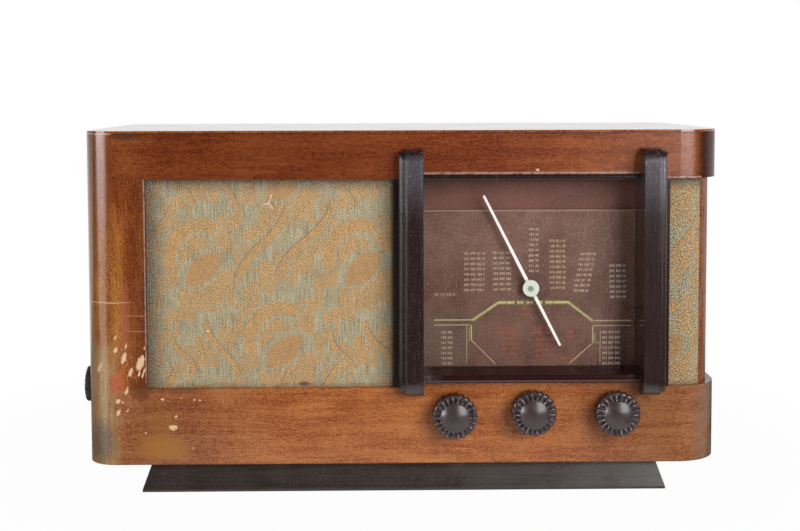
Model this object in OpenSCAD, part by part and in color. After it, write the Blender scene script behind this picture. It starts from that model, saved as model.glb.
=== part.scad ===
// Table radio receiver in a bent plywood cabinet, about 1936 to 1939.
// Millimetres, +Z up, the front faces -Y, and the origin is on the floor under the cabinet's middle.

/* [Cabinet] */
// Width across the cabinet's sides
cabinet_w = 560; // [550:1:580]
// Depth from the front face to the back edge
cabinet_d = 260; // [256:1:285]
// Height of the cabinet above its plinth
cabinet_h = 294; // [290:1:306]
// Thickness of the plywood bands and of the stile beside the cloth
shell_t = 6; // [5:0.5:7]
// Thickness of the side, top and bottom boards
board_t = 10; // [9:0.5:12]
// Thickness of the veneered skin on the top
top_skin_t = 2; // [1.5:0.1:3]
// Outer radius of the left front corner
left_corner_r = 26; // [22:1:30]
// Outer radius of the right front corner
right_corner_r = 38; // [36:1:42]
// Height of the rail over the openings
top_rail_h = 42.5; // [41:0.5:46]
// Height of the rail under the openings
bottom_rail_h = 67.5; // [65:0.5:70]
// Width of the stile left of the cloth, with its round corner
left_stile_w = 54.3; // [50:0.1:60]
// Width of each mullion between the dial and the cloth, its dark lining included
mullion_w = 25.6; // [25:0.1:28]
// Angle of the corner that the round post on the right covers, from the side
post_angle = 50; // [40:1:58]

/* [Plinth] */
// Height of the plinth
plinth_h = 25; // [20:1:30]
// Width of the plinth where it meets the cabinet
plinth_top_w = 447; // [435:1:455]
// How far the plinth's foot stands out on each side
plinth_flare = 8; // [5:0.5:9]
// How far the plinth's top stands back from the cabinet's front and back
plinth_setback = 10; // [9:0.5:14]
// Width of the plinth's boards at the top
plinth_board_w = 14; // [12:0.5:16]
// Height of the upright lip at the plinth's foot
plinth_lip_h = 2; // [1:0.5:4]

/* [Dial] */
// Place of the dial opening's middle, to the right of the cabinet's middle
dial_x = 112; // [110:0.5:114]
// Width of the dial opening between its dark linings
dial_w = 191; // [190:0.5:194]
// Depth of the dial's recess behind the front face
recess_d = 26; // [24:0.5:30]
// Height of the ledge under the sill above the lower rail
ledge_h = 5.5; // [4:0.5:7]
// Height of the scale plate
scale_h = 145; // [135:1:150]
// Thickness of the scale plate
scale_t = 2; // [1.5:0.1:2.5]
// Clear way between the scale plate and the backing
scale_gap = 2.5; // [1.5:0.1:3]
// Thickness of the backing board
backing_t = 3; // [2:0.5:4]
// How far the sill stands in front of the cabinet
sill_reach = 8; // [6:0.5:10]
// Height of the sill's front edge
sill_front_h = 6.5; // [5:0.1:7]
// Height of the sill against the scale plate
sill_back_h = 9.3; // [8:0.1:10]
// Radius of the round moulding over the dial
dial_rail_r = 3; // [2:0.1:4]

/* [Fin bars] */
// Width of a bar's front layer
bar_w = 16; // [14:0.5:17]
// Width of the step beside the front layer
bar_step_w = 5; // [4:0.5:6]
// How far a bar stands in front of the cabinet
bar_reach = 19; // [16:0.5:22]
// How far the step stands in front of the cabinet
bar_step_reach = 12; // [10:0.5:14]
// Height of a bar
bar_h = 216.8; // [210:0.2:220]
// Height of a bar's lower end above the cabinet's bottom
bar_foot_h = 61.3; // [58:0.1:64]
// Radius of a bar's round ends
bar_end_r = 14; // [10:0.5:15]
// Thickness of the dark lining that the bars send into the recess
lining_t = 3; // [2:0.5:4]

/* [Pointer] */
// Sideways place of the pointer's shaft from the dial opening's middle
pointer_x = 1; // [0:0.1:1.5]
// Height of the pointer's shaft above the lower rail
pointer_h = 85.3; // [84:0.1:88]
// Length of the pointer's long arm
pointer_arm = 93; // [88:0.5:93.5]
// Length of the pointer's short arm
pointer_tail = 58; // [50:1:62]
// Radius of the pointer's disc
pointer_disc_r = 7.3; // [6:0.1:9]
// Width of the pointer beside its disc
pointer_w = 3; // [2:0.1:4]
// Thickness of the pointer's disc
pointer_t = 2; // [1.5:0.1:2.5]
// Clear way between the pointer's arms and the scale plate
pointer_gap = 5.5; // [4:0.5:6.5]
// Lean of the pointer to the left at rest
pointer_lean = 27; // [0:1:45]

/* [Tuning drive] */
// Radius of the cord's path round the drum
drum_cord_r = 34.4; // [32:0.1:36]
// Width of the drum's rim
drum_rim_w = 7; // [6:0.5:8]
// Radius of the cord's path round the tuning spindle
spindle_cord_r = 3.4; // [3.3:0.1:3.8]
// Thickness of the drive cord
cord_d = 1; // [0.8:0.1:1.2]
// Step of the cord along the spindle at each turn
cord_step = 1.5; // [1.4:0.1:1.8]
// Radius of the tuning condenser's shaft
shaft_r = 3; // [2.5:0.1:3.5]
// Clear way behind the backing to the drum
drum_gap = 3; // [2.5:0.5:5]
// Wire of the drum's spring
spring_wire = 0.5; // [0.4:0.1:0.6]
// Radius of the spring's curls
spring_r = 1.1; // [1:0.1:1.2]
// Number of the spring's curls
spring_curls = 12; // [6:1:14]
// Length of the spring's wound part
spring_len = 13; // [12.5:0.5:14]

/* [Tuning condenser] */
// Radius of the moving vanes
vane_r = 21; // [18:0.5:22]
// Thickness of a vane
vane_t = 0.8; // [0.6:0.1:0.9]
// Distance from one moving vane to the next
vane_pitch = 2.6; // [2.4:0.1:2.8]
// Number of moving vanes in a section
vane_count = 8; // [5:1:9]
// Number of sections
gang_sections = 2; // [2:1:2]
// Room for one section between the frame's walls
gang_room = 29; // [28:0.5:32]
// Width of the condenser's frame
gang_w = 54; // [52:1:58]
// Depth of the frame below the shaft
gang_drop = 29; // [28:0.5:31]
// Thickness of the frame's sheet
gang_sheet = 1.6; // [1.2:0.1:2]

/* [Knobs] */
// Radius over the ribs of the knob's skirt
knob_r = 19.6; // [18:0.1:20.5]
// Radius of the knob's dome
knob_dome_r = 13; // [11:0.1:14]
// Height of the knob
knob_h = 20; // [18:0.5:23]
// Height of the skirt
knob_skirt_h = 8; // [6:0.5:9]
// Number of ribs on the skirt
knob_ribs = 22; // [18:1:24]
// Width of a rib at the skirt's edge
rib_w = 3.2; // [2:0.1:3.4]
// Clear way between the knobs and the cabinet
knob_gap = 1.5; // [1:0.1:2.5]
// Radius of the round knob on the left side
side_knob_r = 16.5; // [15:0.1:18]
// Height of the side knob
side_knob_h = 17; // [15:0.5:19]
// Distance of the side knob behind the front face
side_knob_back = 90; // [80:1:110]
// Height of the side knob above the cabinet's bottom
side_knob_up = 53.5; // [50:0.5:60]
// Place of the left knob from the cabinet's middle
volume_x = 44; // [42:0.5:52]
// Height of the left knob above the cabinet's bottom
volume_up = 44.3; // [42:0.1:48]
// Height of the middle knob above the cabinet's bottom
tuning_up = 46.7; // [45:0.1:48]
// Place of the right knob from the cabinet's middle
waveband_x = 186.5; // [178:0.5:190]
// Height of the right knob above the cabinet's bottom
waveband_up = 45.8; // [42:0.1:48]
// Radius of the control spindles
spindle_r = 3; // [2.8:0.1:3.2]
// Radius of the holes for the spindles in the front
spindle_hole_r = 6; // [5:0.5:7]

/* [Controls] */
// Radius of the volume and tone controls
control_r = 17; // [15:0.5:18]
// Depth of the volume and tone controls
control_d = 14; // [12:0.5:16]
// Radius of the threaded bushes
bush_r = 4.75; // [4.5:0.05:5]
// Radius of the switch wafers
wafer_r = 19; // [17:0.5:20]
// Distance from one wafer to the next
wafer_step = 13; // [10:0.5:14]
// Distance across the flats of the bushes' nuts
control_nut_w = 14; // [13:0.5:15]

/* [Chassis] */
// Length of the chassis
chassis_l = 430; // [425:1:436]
// Clear way between the chassis and the back cover
chassis_cover_gap = 16; // [15:1:18]
// Height of the chassis
chassis_h = 70; // [68:1:72]
// Thickness of the chassis sheet
sheet_t = 1.5; // [1.2:0.1:2]
// Place of the chassis' left end from the cabinet's middle
chassis_x = -195; // [-198:1:-192]
// Distance of the chassis behind the front face
chassis_back = 52; // [51:0.5:54]
// Width of the flanges under the chassis
flange_w = 18; // [16:1:20]
// Height of the rubber feet under the chassis
foot_h = 8; // [6:0.5:10]
// Radius of the rubber feet
foot_r = 8; // [7:0.5:9]
// Radius of the chassis bolts
bolt_r = 2.5; // [2:0.1:3]

/* [Loudspeaker] */
// Width of the loudspeaker's rim round the baffle's hole
speaker_rim_w = 15; // [15:0.5:18]
// Depth of the loudspeaker's frame behind the baffle
speaker_d = 44; // [40:1:48]
// Radius of the hole in the baffle
speaker_hole_r = 72; // [68:0.5:73]
// Radius of the magnet
magnet_r = 35; // [30:0.5:38]
// Length of the magnet
magnet_l = 42; // [36:1:46]
// Thickness of the baffle
baffle_t = 10; // [8:0.5:12]
// Thickness of the cloth
cloth_t = 0.8; // [0.6:0.1:1]
// How far the cloth is tucked in behind the wood
cloth_tuck = 5; // [3:0.5:8]

/* [Valves and cans] */
// Radius of a valve's glass
valve_r = 19; // [17:0.5:20]
// Height of a valve's glass over its base
valve_h = 78; // [70:1:90]
// Radius of a valve's base
valve_base_r = 15; // [14:0.5:16]
// Height of a valve's base
valve_base_h = 20; // [16:1:24]
// Width of a screening can
can_w = 34; // [30:0.5:36]
// Height of a screening can
can_h = 75; // [60:1:90]
// Radius of the smoothing condenser
smoothing_r = 17.5; // [15:0.5:19]
// Height of the smoothing condenser
smoothing_h = 85; // [70:1:100]
// Width of the mains transformer's core
mains_core_w = 84; // [76:1:88]
// Height of the mains transformer's core
mains_core_h = 70; // [60:1:76]
// Thickness of the mains transformer's laminations
mains_stack = 34; // [28:1:36]
// Width of the output transformer's core
output_core_w = 48; // [42:1:50]
// Height of the output transformer's core
output_core_h = 40; // [34:1:44]
// Thickness of the output transformer's laminations
output_stack = 18; // [14:1:20]

/* [Back] */
// Thickness of the back cover
cover_t = 3; // [2:0.5:4]
// How far the back cover stands inside the cabinet's back edge
cover_inset = 3; // [2:0.5:5]
// Number of vent slots in a row
vent_count = 14; // [10:1:16]
// Width of a vent slot
vent_w = 5; // [4:0.5:6]
// Height of a vent slot
vent_h = 34; // [28:1:38]
// Side of the blocks that hold the back cover
cleat_w = 16; // [14:1:18]
// Radius of the wood screws
screw_r = 1.8; // [1.5:0.1:2]
// Radius of the wood screws' heads
screw_head_r = 3.8; // [3.5:0.1:4]
// Radius of a plug socket's hole
socket_r = 2; // [1.5:0.1:2]
// Radius of the mains cord's hole in its grommet
cord_hole_r = 4; // [3.8:0.1:4.5]

/* [Hidden] */
$fn = 64;

// Clearances: a fixed fit, a turning shaft, a loose hole, and a cut that runs past a face
fit = 0.1;
run = 0.05;
loose = 0.3;
past = 1;

// The main planes of the cabinet
front_y = -cabinet_d / 2;
back_y = cabinet_d / 2;
left_x = -cabinet_w / 2;
right_x = cabinet_w / 2;
cab_z = plinth_h;
cab_top_z = cab_z + cabinet_h;
skin_z = cab_top_z - top_skin_t;
floor_z = cab_z + board_t;
ceiling_z = skin_z - board_t;
open_z0 = cab_z + bottom_rail_h;
open_z1 = cab_top_z - top_rail_h;
shell_y = front_y + shell_t;
cloth_y = shell_y + cloth_t;
baffle_y = cloth_y + baffle_t;

// The dial and its mullions
dial_x0 = dial_x - dial_w / 2;
dial_x1 = dial_x + dial_w / 2;
recess_y = front_y + recess_d;
ledge_z = open_z0 + ledge_h;
left_mullion_x = dial_x0 - mullion_w;
right_mullion_x = dial_x1 + mullion_w;
scale_y = recess_y - scale_gap - scale_t;
backing_back_y = recess_y + backing_t;
backing_lap = 12;
backing_z0 = open_z0 - 4;
backing_z1 = open_z1 + 12;

// The round corners
left_joint_x = left_x + left_corner_r;
corner_x = right_x - right_corner_r;
corner_y = front_y + right_corner_r;
cloth_set = shell_t + loose;
corner_baffle_set = cloth_set + cloth_t + fit;

// The cloth opening and the loudspeaker in its middle
cloth_x0 = left_x + left_stile_w;
cloth_x1 = left_mullion_x;
speaker_x = (cloth_x0 + cloth_x1) / 2;
speaker_z = (open_z0 + open_z1) / 2;

// The pointer's shaft and the tuning spindle under it
hub_x = dial_x + pointer_x;
hub_z = open_z0 + pointer_h;
tuning_x = hub_x;
tuning_z = cab_z + tuning_up;
volume_z = cab_z + volume_up;
waveband_z = cab_z + waveband_up;
pointer_y = scale_y - pointer_gap - pointer_t / 2;
drum_y = backing_back_y + drum_gap;
cord_y = drum_y + drum_rim_w / 2;
knob_y = front_y - knob_gap;
knob_bore_d = knob_h - 6;

// The chassis
chassis_y0 = front_y + chassis_back;
chassis_y1 = back_y - cover_inset - cover_t - chassis_cover_gap;
chassis_x1 = chassis_x + chassis_l;
chassis_z = floor_z + foot_h;
deck_z = chassis_z + chassis_h;
wall_y = chassis_y0 + sheet_t;
bolt_edge = 10;
bolt_xs = [chassis_x + 20, chassis_x1 - 42];
bolt_ys = [chassis_y0 + bolt_edge, chassis_y1 - bolt_edge];
bolt_head_r = bolt_r * 1.9;
bolt_head_h = 3;
nut_h = 3.2;

// The tuning condenser
gang_y0 = chassis_y0 - 6;
gang_len = gang_sections * gang_room + (gang_sections + 1) * gang_sheet;
gang_y1 = gang_y0 + gang_len;
gang_base_z = hub_z - gang_drop;
stator_r = vane_r + 3;
stator_bore_r = 7.5;
rotor_collar_r = 5.5;
stator_rod_x = stator_r - 1.2;
stator_rod_r = 1;
pack_len = vane_count * vane_pitch + vane_t;

// The loudspeaker's own sizes
speaker_r = speaker_hole_r + speaker_rim_w;
speaker_bolt_ring = speaker_hole_r + 10;
speaker_bolt_angles = [45 : 90 : 315];
rim_t = 2;
frame_t = 1.6;
cone_t = 0.8;
cone_neck_r = 13;
back_ring_r = magnet_r + 3;

// Places on the chassis from its left end, the front row from its front and the rest from its rear
can_places = [[250, 62], [386, 62]];
output_place = [206, 78];
valve_places = [[150, 36], [206, 36], [262, 38], [330, 36], [392, 58]];
smoothing_place = [108, 84];
mains_place = [46, 54];
socket_xs = [300, 366];
socket_z = chassis_z + 34;
grommet_x = chassis_x + 48;
grommet_z = chassis_z + 30;

// The back cover
cover_y1 = back_y - cover_inset;
cover_y0 = cover_y1 - cover_t;
cover_x0 = left_x + board_t + loose;
cover_x1 = right_x - shell_t - board_t - loose;
cover_z0 = floor_z + loose;
cover_z1 = ceiling_z - loose;

wood = [0.50, 0.22, 0.09];
wood_front = [0.58, 0.27, 0.11];
ply = [0.72, 0.55, 0.36];
ebony = [0.09, 0.06, 0.06];
cloth_colour = [0.58, 0.56, 0.43];
bakelite = [0.18, 0.11, 0.12];
steel = [0.62, 0.63, 0.64];
brass = [0.72, 0.58, 0.30];
alloy = [0.78, 0.79, 0.80];
board_brown = [0.36, 0.20, 0.14];
cream = [0.88, 0.88, 0.80];

// Places a flat profile drawn in Y and Z along X
module along_x(x0, x1) {
    translate([x0, 0, 0])
        rotate([90, 0, 90])
            linear_extrude(x1 - x0)
                children();
}

// Places a flat profile drawn in X and Z along Y
module along_y(y0, y1) {
    translate([0, y1, 0])
        rotate([90, 0, 0])
            linear_extrude(y1 - y0)
                children();
}

// Lays a turned shape's axis along Y, with its base at y and growing to the back
module turned_y(x, y, z) {
    translate([x, y, z])
        rotate([-90, 0, 0])
            children();
}

// Lays a turned shape's axis along Y, growing to the front
module turned_front(x, y, z) {
    translate([x, y, z])
        rotate([90, 0, 0])
            children();
}

// A box from its low and high corners
module box(low, high) {
    translate(low)
        cube(high - low);
}

// A tube on Z
module tube(outer_r, inner_r, h) {
    difference() {
        cylinder(r = outer_r, h = h);
        translate([0, 0, -past])
            cylinder(r = inner_r, h = h + 2 * past);
    }
}

// A hexagon nut on Z, with its own hole
module hex_nut(flats, hole_r, h) {
    difference() {
        cylinder(r = flats / 2 / cos(30), h = h, $fn = 6);
        translate([0, 0, -past])
            cylinder(r = hole_r, h = h + 2 * past);
    }
}

// The cabinet's outline, seen from above, with each side moved in and the front corners round
module plan(left_in, right_in, front_in, left_r, right_r) {
    x0 = left_x + left_in;
    x1 = right_x - right_in;
    y0 = front_y + front_in;
    translate([x0 + left_r, y0])
        square([x1 - x0 - left_r - right_r, back_y - y0]);
    translate([x0, y0 + left_r])
        square([x1 - x0 - right_r, back_y - y0 - left_r]);
    translate([x0 + left_r, y0 + right_r])
        square([x1 - x0 - left_r, back_y - y0 - right_r]);
    translate([x0 + left_r, y0 + left_r])
        circle(r = left_r);
    translate([x1 - right_r, y0 + right_r])
        circle(r = right_r);
}

// The outline moved in by the same amount all round
module plan_inset(inset) {
    plan(inset, inset, inset, left_corner_r - inset, right_corner_r - inset);
}

// The hollow inside the boards
module inner_plan() {
    plan(
        board_t, shell_t + board_t, shell_t,
        left_corner_r - board_t, right_corner_r - shell_t - board_t
    );
}

// The hollow with the open corner beside the post, which the top and bottom boards fill
module panel_plan() {
    inner_plan();
    intersection() {
        difference() {
            plan_inset(shell_t);
            post_sector();
        }
        translate([corner_x - past, front_y])
            square([right_corner_r, right_corner_r]);
    }
}

// The part of the plan from the post's edge round to the back
module post_sector() {
    reach = right_corner_r + past;
    edge = [corner_x + reach * cos(post_angle), corner_y - reach * sin(post_angle)];
    polygon([
        [corner_x, corner_y], edge, [right_x + past, edge[1]],
        [right_x + past, back_y + past], [corner_x, back_y + past],
    ]);
}

// A straight shell between two planes, cut to one side of the left joint
module band_plan() {
    intersection() {
        difference() {
            plan_inset(0);
            plan_inset(shell_t);
        }
        translate([left_joint_x, front_y - past])
            square([cabinet_w, cabinet_d + past]);
    }
}

module left_side() {
    color(wood)
    difference() {
        translate([0, 0, cab_z])
            linear_extrude(skin_z - cab_z)
                intersection() {
                    difference() {
                        plan_inset(0);
                        inner_plan();
                    }
                    translate([left_x - past, front_y - past])
                        square([left_corner_r + past, cabinet_d + past]);
                }
        side_control_axis()
            translate([0, 0, -past])
                cylinder(r = bush_r + loose, h = board_t + 2 * past);
        side_control_axis()
            translate([0, 0, board_t - nut_h])
                cylinder(r = control_nut_w / 2 + 2, h = nut_h + past);
    }
}

module right_side() {
    color(wood)
    translate([0, 0, cab_z])
        linear_extrude(skin_z - cab_z)
            intersection() {
                difference() {
                    plan_inset(shell_t);
                    inner_plan();
                }
                post_sector();
            }
}

module top_band() {
    color(wood_front)
    translate([0, 0, open_z1])
        linear_extrude(skin_z - open_z1)
            band_plan();
}

module bottom_band() {
    color(wood_front)
    difference() {
        union() {
            translate([0, 0, cab_z])
                linear_extrude(open_z0 - cab_z)
                    band_plan();
            box([dial_x0 - lining_t, front_y, open_z0], [dial_x1 + lining_t, shell_y, ledge_z]);
        }
        for (p = [[volume_x, volume_z], [tuning_x, tuning_z], [waveband_x, waveband_z]])
            turned_y(p[0], front_y - past, p[1])
                cylinder(r = spindle_hole_r, h = shell_t + 2 * past);
    }
}

module top_panel() {
    color(wood)
    union() {
        translate([0, 0, ceiling_z])
            linear_extrude(board_t)
                panel_plan();
        translate([0, 0, skin_z])
            linear_extrude(top_skin_t)
                plan_inset(0);
    }
}

module bottom_panel() {
    color(ply)
    difference() {
        translate([0, 0, cab_z])
            linear_extrude(board_t)
                panel_plan();
        for (x = bolt_xs, y = bolt_ys)
            translate([x, y, cab_z - past])
                cylinder(r = bolt_r + loose, h = board_t + 2 * past);
        for (p = plinth_screw_places())
            translate([p[0], p[1], cab_z - past])
                cylinder(r = screw_r + fit, h = board_t + 2 * past);
    }
}

module left_stile() {
    color(wood_front)
    box([left_joint_x, front_y, open_z0], [cloth_x0, shell_y, open_z1]);
}

module mullions() {
    color(wood_front)
    union() {
        box([left_mullion_x, front_y, open_z0], [dial_x0 - lining_t, recess_y, open_z1]);
        box([dial_x1 + lining_t, front_y, open_z0], [right_mullion_x, recess_y, open_z1]);
    }
}

// The outline of a bar from the side: straight at the back, quarter-rounds at both front ends
module bar_profile(reach, z0, z1, r) {
    translate([front_y - reach + r, z0])
        square([reach - r, z1 - z0]);
    translate([front_y - reach, z0 + r])
        square([reach, z1 - z0 - 2 * r]);
    for (z = [z0 + r, z1 - r])
        translate([front_y - reach + r, z])
            circle(r = r);
}

// A bar drawn for the dial's left side: its sharp edge is at the dial and its step is outside
module fin_bar() {
    z0 = cab_z + bar_foot_h;
    z1 = z0 + bar_h;
    step_in = 2.5;
    edge_r = 2;
    step_edge_r = 3.5;
    x0 = -bar_w;
    color(ebony)
    union() {
        intersection() {
            along_x(x0, 0)
                bar_profile(bar_reach, z0, z1, bar_end_r);
            translate([x0, front_y - bar_reach, z0])
                linear_extrude(bar_h) {
                    translate([edge_r, 0])
                        square([bar_w - edge_r, bar_reach]);
                    translate([0, edge_r])
                        square([bar_w, bar_reach - edge_r]);
                    translate([edge_r, edge_r])
                        circle(r = edge_r);
                }
        }
        intersection() {
            along_x(x0 - bar_step_w, x0 + past)
                bar_profile(bar_step_reach, z0 + step_in, z1 - step_in, bar_end_r - step_in * 2);
            translate([x0 - bar_step_w, front_y - bar_step_reach, z0])
                linear_extrude(bar_h) {
                    translate([step_edge_r, 0])
                        square([bar_step_w + past - step_edge_r, bar_step_reach]);
                    translate([0, step_edge_r])
                        square([bar_step_w + past, bar_step_reach - step_edge_r]);
                    translate([step_edge_r, step_edge_r])
                        circle(r = step_edge_r);
                }
        }
        box([-lining_t, front_y - past, ledge_z], [0, recess_y, open_z1]);
    }
}

module left_fin_bar() {
    translate([dial_x0, 0, 0])
        fin_bar();
}

module right_fin_bar() {
    translate([dial_x1, 0, 0])
        mirror([1, 0, 0])
            fin_bar();
}

module dial_top_rail() {
    color(ebony)
    along_x(dial_x0, dial_x1) {
        lip = dial_rail_r - 1;
        translate([front_y, open_z1 - lip])
            square([shell_t, lip]);
        intersection() {
            translate([front_y, open_z1 - lip + dial_rail_r])
                circle(r = dial_rail_r);
            translate([front_y - dial_rail_r - past, open_z1 - lip])
                square([dial_rail_r + past, 2 * dial_rail_r]);
        }
    }
}

module dial_sill() {
    nose_y = front_y - sill_reach;
    nose_r = 1.5;
    groove_z = ledge_z + 4;
    front_z = ledge_z + sill_front_h;
    back_z = ledge_z + sill_back_h;
    color([0.25, 0.07, 0.06])
    along_x(dial_x0, dial_x1)
        difference() {
            polygon([
                [nose_y, ledge_z], [nose_y, front_z], [nose_y + nose_r, front_z],
                [recess_y, back_z], [recess_y, ledge_z],
            ]);
            difference() {
                translate([nose_y - past, front_z - nose_r])
                    square([nose_r + past, nose_r + past]);
                translate([nose_y + nose_r, front_z - nose_r])
                    circle(r = nose_r);
            }
            translate([scale_y - fit, groove_z])
                square([scale_t + 2 * fit, sill_back_h]);
        }
}

module speaker_baffle() {
    color(ply)
    difference() {
        box([left_joint_x + fit, cloth_y, floor_z], [left_mullion_x - fit, baffle_y, ceiling_z]);
        turned_y(speaker_x, cloth_y - past, speaker_z)
            cylinder(r = speaker_hole_r, h = baffle_t + 2 * past);
        speaker_bolt_holes();
    }
}

// The curved board behind the corner's cloth
module corner_baffle() {
    color(ply)
    translate([0, 0, floor_z])
        linear_extrude(ceiling_z - floor_z)
            difference() {
                intersection() {
                    difference() {
                        plan_inset(corner_baffle_set);
                        inner_plan_behind_corner();
                    }
                    translate([right_mullion_x + fit, front_y])
                        square([right_corner_r * 2, right_corner_r * 2]);
                }
                post_sector();
            }
}

// The curved board's inner face
module inner_plan_behind_corner() {
    board_in = corner_baffle_set + 7;
    plan_inset(board_in);
}

module speaker_cloth() {
    color(cloth_colour)
    box(
        [cloth_x0 - cloth_tuck, shell_y, open_z0 - cloth_tuck],
        [cloth_x1 - fit, cloth_y, open_z1 + cloth_tuck]
    );
}

module corner_cloth() {
    color(cloth_colour)
    translate([0, 0, open_z0 - cloth_tuck])
        linear_extrude(open_z1 - open_z0 + 2 * cloth_tuck)
            difference() {
                intersection() {
                    difference() {
                        plan_inset(cloth_set);
                        plan_inset(cloth_set + cloth_t);
                    }
                    translate([right_mullion_x + fit, front_y])
                        square([right_corner_r * 2, right_corner_r * 2]);
                }
                post_sector();
            }
}

// The plinth's outline from the front or the side: sloping faces over an upright lip
module plinth_profile(top_half, bottom_half) {
    polygon([
        [-bottom_half, 0], [bottom_half, 0], [bottom_half, plinth_lip_h], [top_half, plinth_h],
        [-top_half, plinth_h], [-bottom_half, plinth_lip_h],
    ]);
}

module plinth() {
    half_w = plinth_top_w / 2;
    half_d = cabinet_d / 2 - plinth_setback;
    in_x = half_w - plinth_board_w;
    in_y = half_d - plinth_board_w;
    reach = half_w + plinth_flare + past;
    color(ebony)
    difference() {
        intersection() {
            along_y(-reach, reach)
                plinth_profile(half_w, half_w + plinth_flare);
            along_x(-reach, reach)
                plinth_profile(half_d, half_d + plinth_flare);
        }
        box([-in_x, -in_y, -past], [in_x, in_y, plinth_h + past]);
        for (p = plinth_screw_places())
            translate([p[0], p[1], plinth_h - 16])
                cylinder(r = screw_r + fit, h = 16 + past);
    }
}

// Screws through the bottom board into the plinth
function plinth_screw_places() =
    let (
        x = plinth_top_w / 2 - plinth_board_w / 2,
        y = cabinet_d / 4
    )
    [for (sx = [-1, 1], sy = [-1, 1]) [sx * x, sy * y]];

// A wood screw on Z with its head down from 0 and its shank to the depth given
module wood_screw(depth) {
    head_h = 2.2;
    translate([0, 0, -depth])
        cylinder(r = screw_r, h = depth + past);
    intersection() {
        cylinder(r = screw_head_r, h = head_h);
        translate([0, 0, head_h - screw_head_r * 1.35])
            sphere(r = screw_head_r * 1.35);
    }
}

module wood_screws() {
    color(steel) {
        for (p = plinth_screw_places())
            translate([p[0], p[1], floor_z])
                wood_screw(board_t + 14);
        for (p = cleat_places())
            translate([p[0], cover_y1, p[1]])
                rotate([-90, 0, 0])
                    wood_screw(cover_t + 10);
    }
}

// The middles of the blocks that the back cover is screwed to
function cleat_places() =
    let (
        x0 = left_x + board_t + cleat_w / 2,
        x1 = right_x - shell_t - board_t - cleat_w / 2,
        z0 = floor_z + cleat_w / 2,
        z1 = ceiling_z - cleat_w / 2
    )
    [for (x = [x0, x1], z = [z0, (z0 + z1) / 2, z1]) [x, z]];

module cover_cleats() {
    cleat_l = 22;
    color(ply)
    for (p = cleat_places())
        difference() {
            translate([p[0] - cleat_w / 2, cover_y0 - cleat_l, p[1] - cleat_w / 2])
                cube([cleat_w, cleat_l, cleat_w]);
            turned_y(p[0], cover_y0 - 12, p[1])
                cylinder(r = screw_r + fit, h = 12 + past);
        }
}

module rear_cover() {
    vent_pitch = (cover_x1 - cover_x0 - 2 * cleat_w - 20) / vent_count;
    vent_rows = [ceiling_z - 66, ceiling_z - 116];
    socket_mid = chassis_x + (socket_xs[0] + socket_xs[1]) / 2;
    socket_half = (socket_xs[1] - socket_xs[0]) / 2 + 30;
    color(board_brown)
    difference() {
        box([cover_x0, cover_y0, cover_z0], [cover_x1, cover_y1, cover_z1]);
        for (i = [0 : vent_count - 1], z = vent_rows)
            translate([
                (cover_x0 + cover_x1) / 2 + (i - (vent_count - 1) / 2) * vent_pitch, 0, z,
            ])
                along_y(cover_y0 - past, cover_y1 + past)
                    slot_profile(vent_w, vent_h);
        box(
            [socket_mid - socket_half, cover_y0 - past, socket_z - 16],
            [socket_mid + socket_half, cover_y1 + past, socket_z + 16]
        );
        turned_y(grommet_x, cover_y0 - past, grommet_z)
            cylinder(r = cord_hole_r + 7, h = cover_t + 2 * past);
        for (p = cleat_places())
            turned_y(p[0], cover_y0 - past, p[1])
                cylinder(r = screw_r + fit, h = cover_t + 2 * past);
    }
}

// An upright slot with round ends
module slot_profile(w, h) {
    translate([-w / 2, w / 2 - h / 2])
        square([w, h - w]);
    for (z = [w / 2 - h / 2, h / 2 - w / 2])
        translate([0, z])
            circle(r = w / 2);
}

module dial_backing() {
    color([0.35, 0.16, 0.13])
    difference() {
        box(
            [dial_x0 - backing_lap, recess_y, backing_z0],
            [dial_x1 + backing_lap, backing_back_y, backing_z1]
        );
        turned_y(hub_x, recess_y - past, hub_z)
            cylinder(r = shaft_r + 2, h = backing_t + 2 * past);
    }
}

module scale_plate() {
    side_gap = 0.3;
    z0 = ledge_z + 4 + fit;
    color([0.55, 0.35, 0.30])
    difference() {
        box([dial_x0 + side_gap, scale_y, z0], [dial_x1 - side_gap, scale_y + scale_t, z0 + scale_h]);
        turned_y(hub_x, scale_y - past, hub_z)
            cylinder(r = shaft_r + 2, h = scale_t + 2 * past);
    }
}

lamp_places = [dial_x0 + 32, dial_x1 - 32];
lamp_y = recess_y - 5;
lamp_top_z = backing_z1 + 13;
lamp_r = 4.5;
lamp_socket_h = 11;

// A strip clipped behind the backing that carries a lamp's socket over its upper edge
module lamp_holders() {
    strip_t = 1;
    strip_w = 10;
    color(brass)
    for (x = lamp_places) {
        box(
            [x - strip_w / 2, backing_back_y, backing_z1 - 16],
            [x + strip_w / 2, backing_back_y + strip_t, lamp_top_z]
        );
        box(
            [x - strip_w / 2, lamp_y - lamp_r, lamp_top_z - strip_t],
            [x + strip_w / 2, backing_back_y + strip_t, lamp_top_z]
        );
        translate([x, lamp_y, lamp_top_z - lamp_socket_h])
            tube(lamp_r, lamp_r - strip_t, lamp_socket_h);
    }
}

module dial_lamps() {
    cap_r = lamp_r - 1 - fit;
    color([0.95, 0.93, 0.85])
    for (x = lamp_places)
        translate([x, lamp_y, lamp_top_z - lamp_socket_h]) {
            cylinder(r = cap_r, h = lamp_socket_h - 1 - fit);
            translate([0, 0, -3.5])
                sphere(r = 4.4);
        }
}

// The pointer's arms from the front, upright, with their round ends
module pointer_profile() {
    tip_r = pointer_w * 0.36;
    polygon([
        [-pointer_w / 2, 0], [-tip_r, pointer_arm - tip_r], [tip_r, pointer_arm - tip_r],
        [pointer_w / 2, 0], [tip_r, tip_r - pointer_tail], [-tip_r, tip_r - pointer_tail],
    ]);
    for (z = [pointer_arm - tip_r, tip_r - pointer_tail])
        translate([0, z])
            circle(r = tip_r);
}

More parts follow.
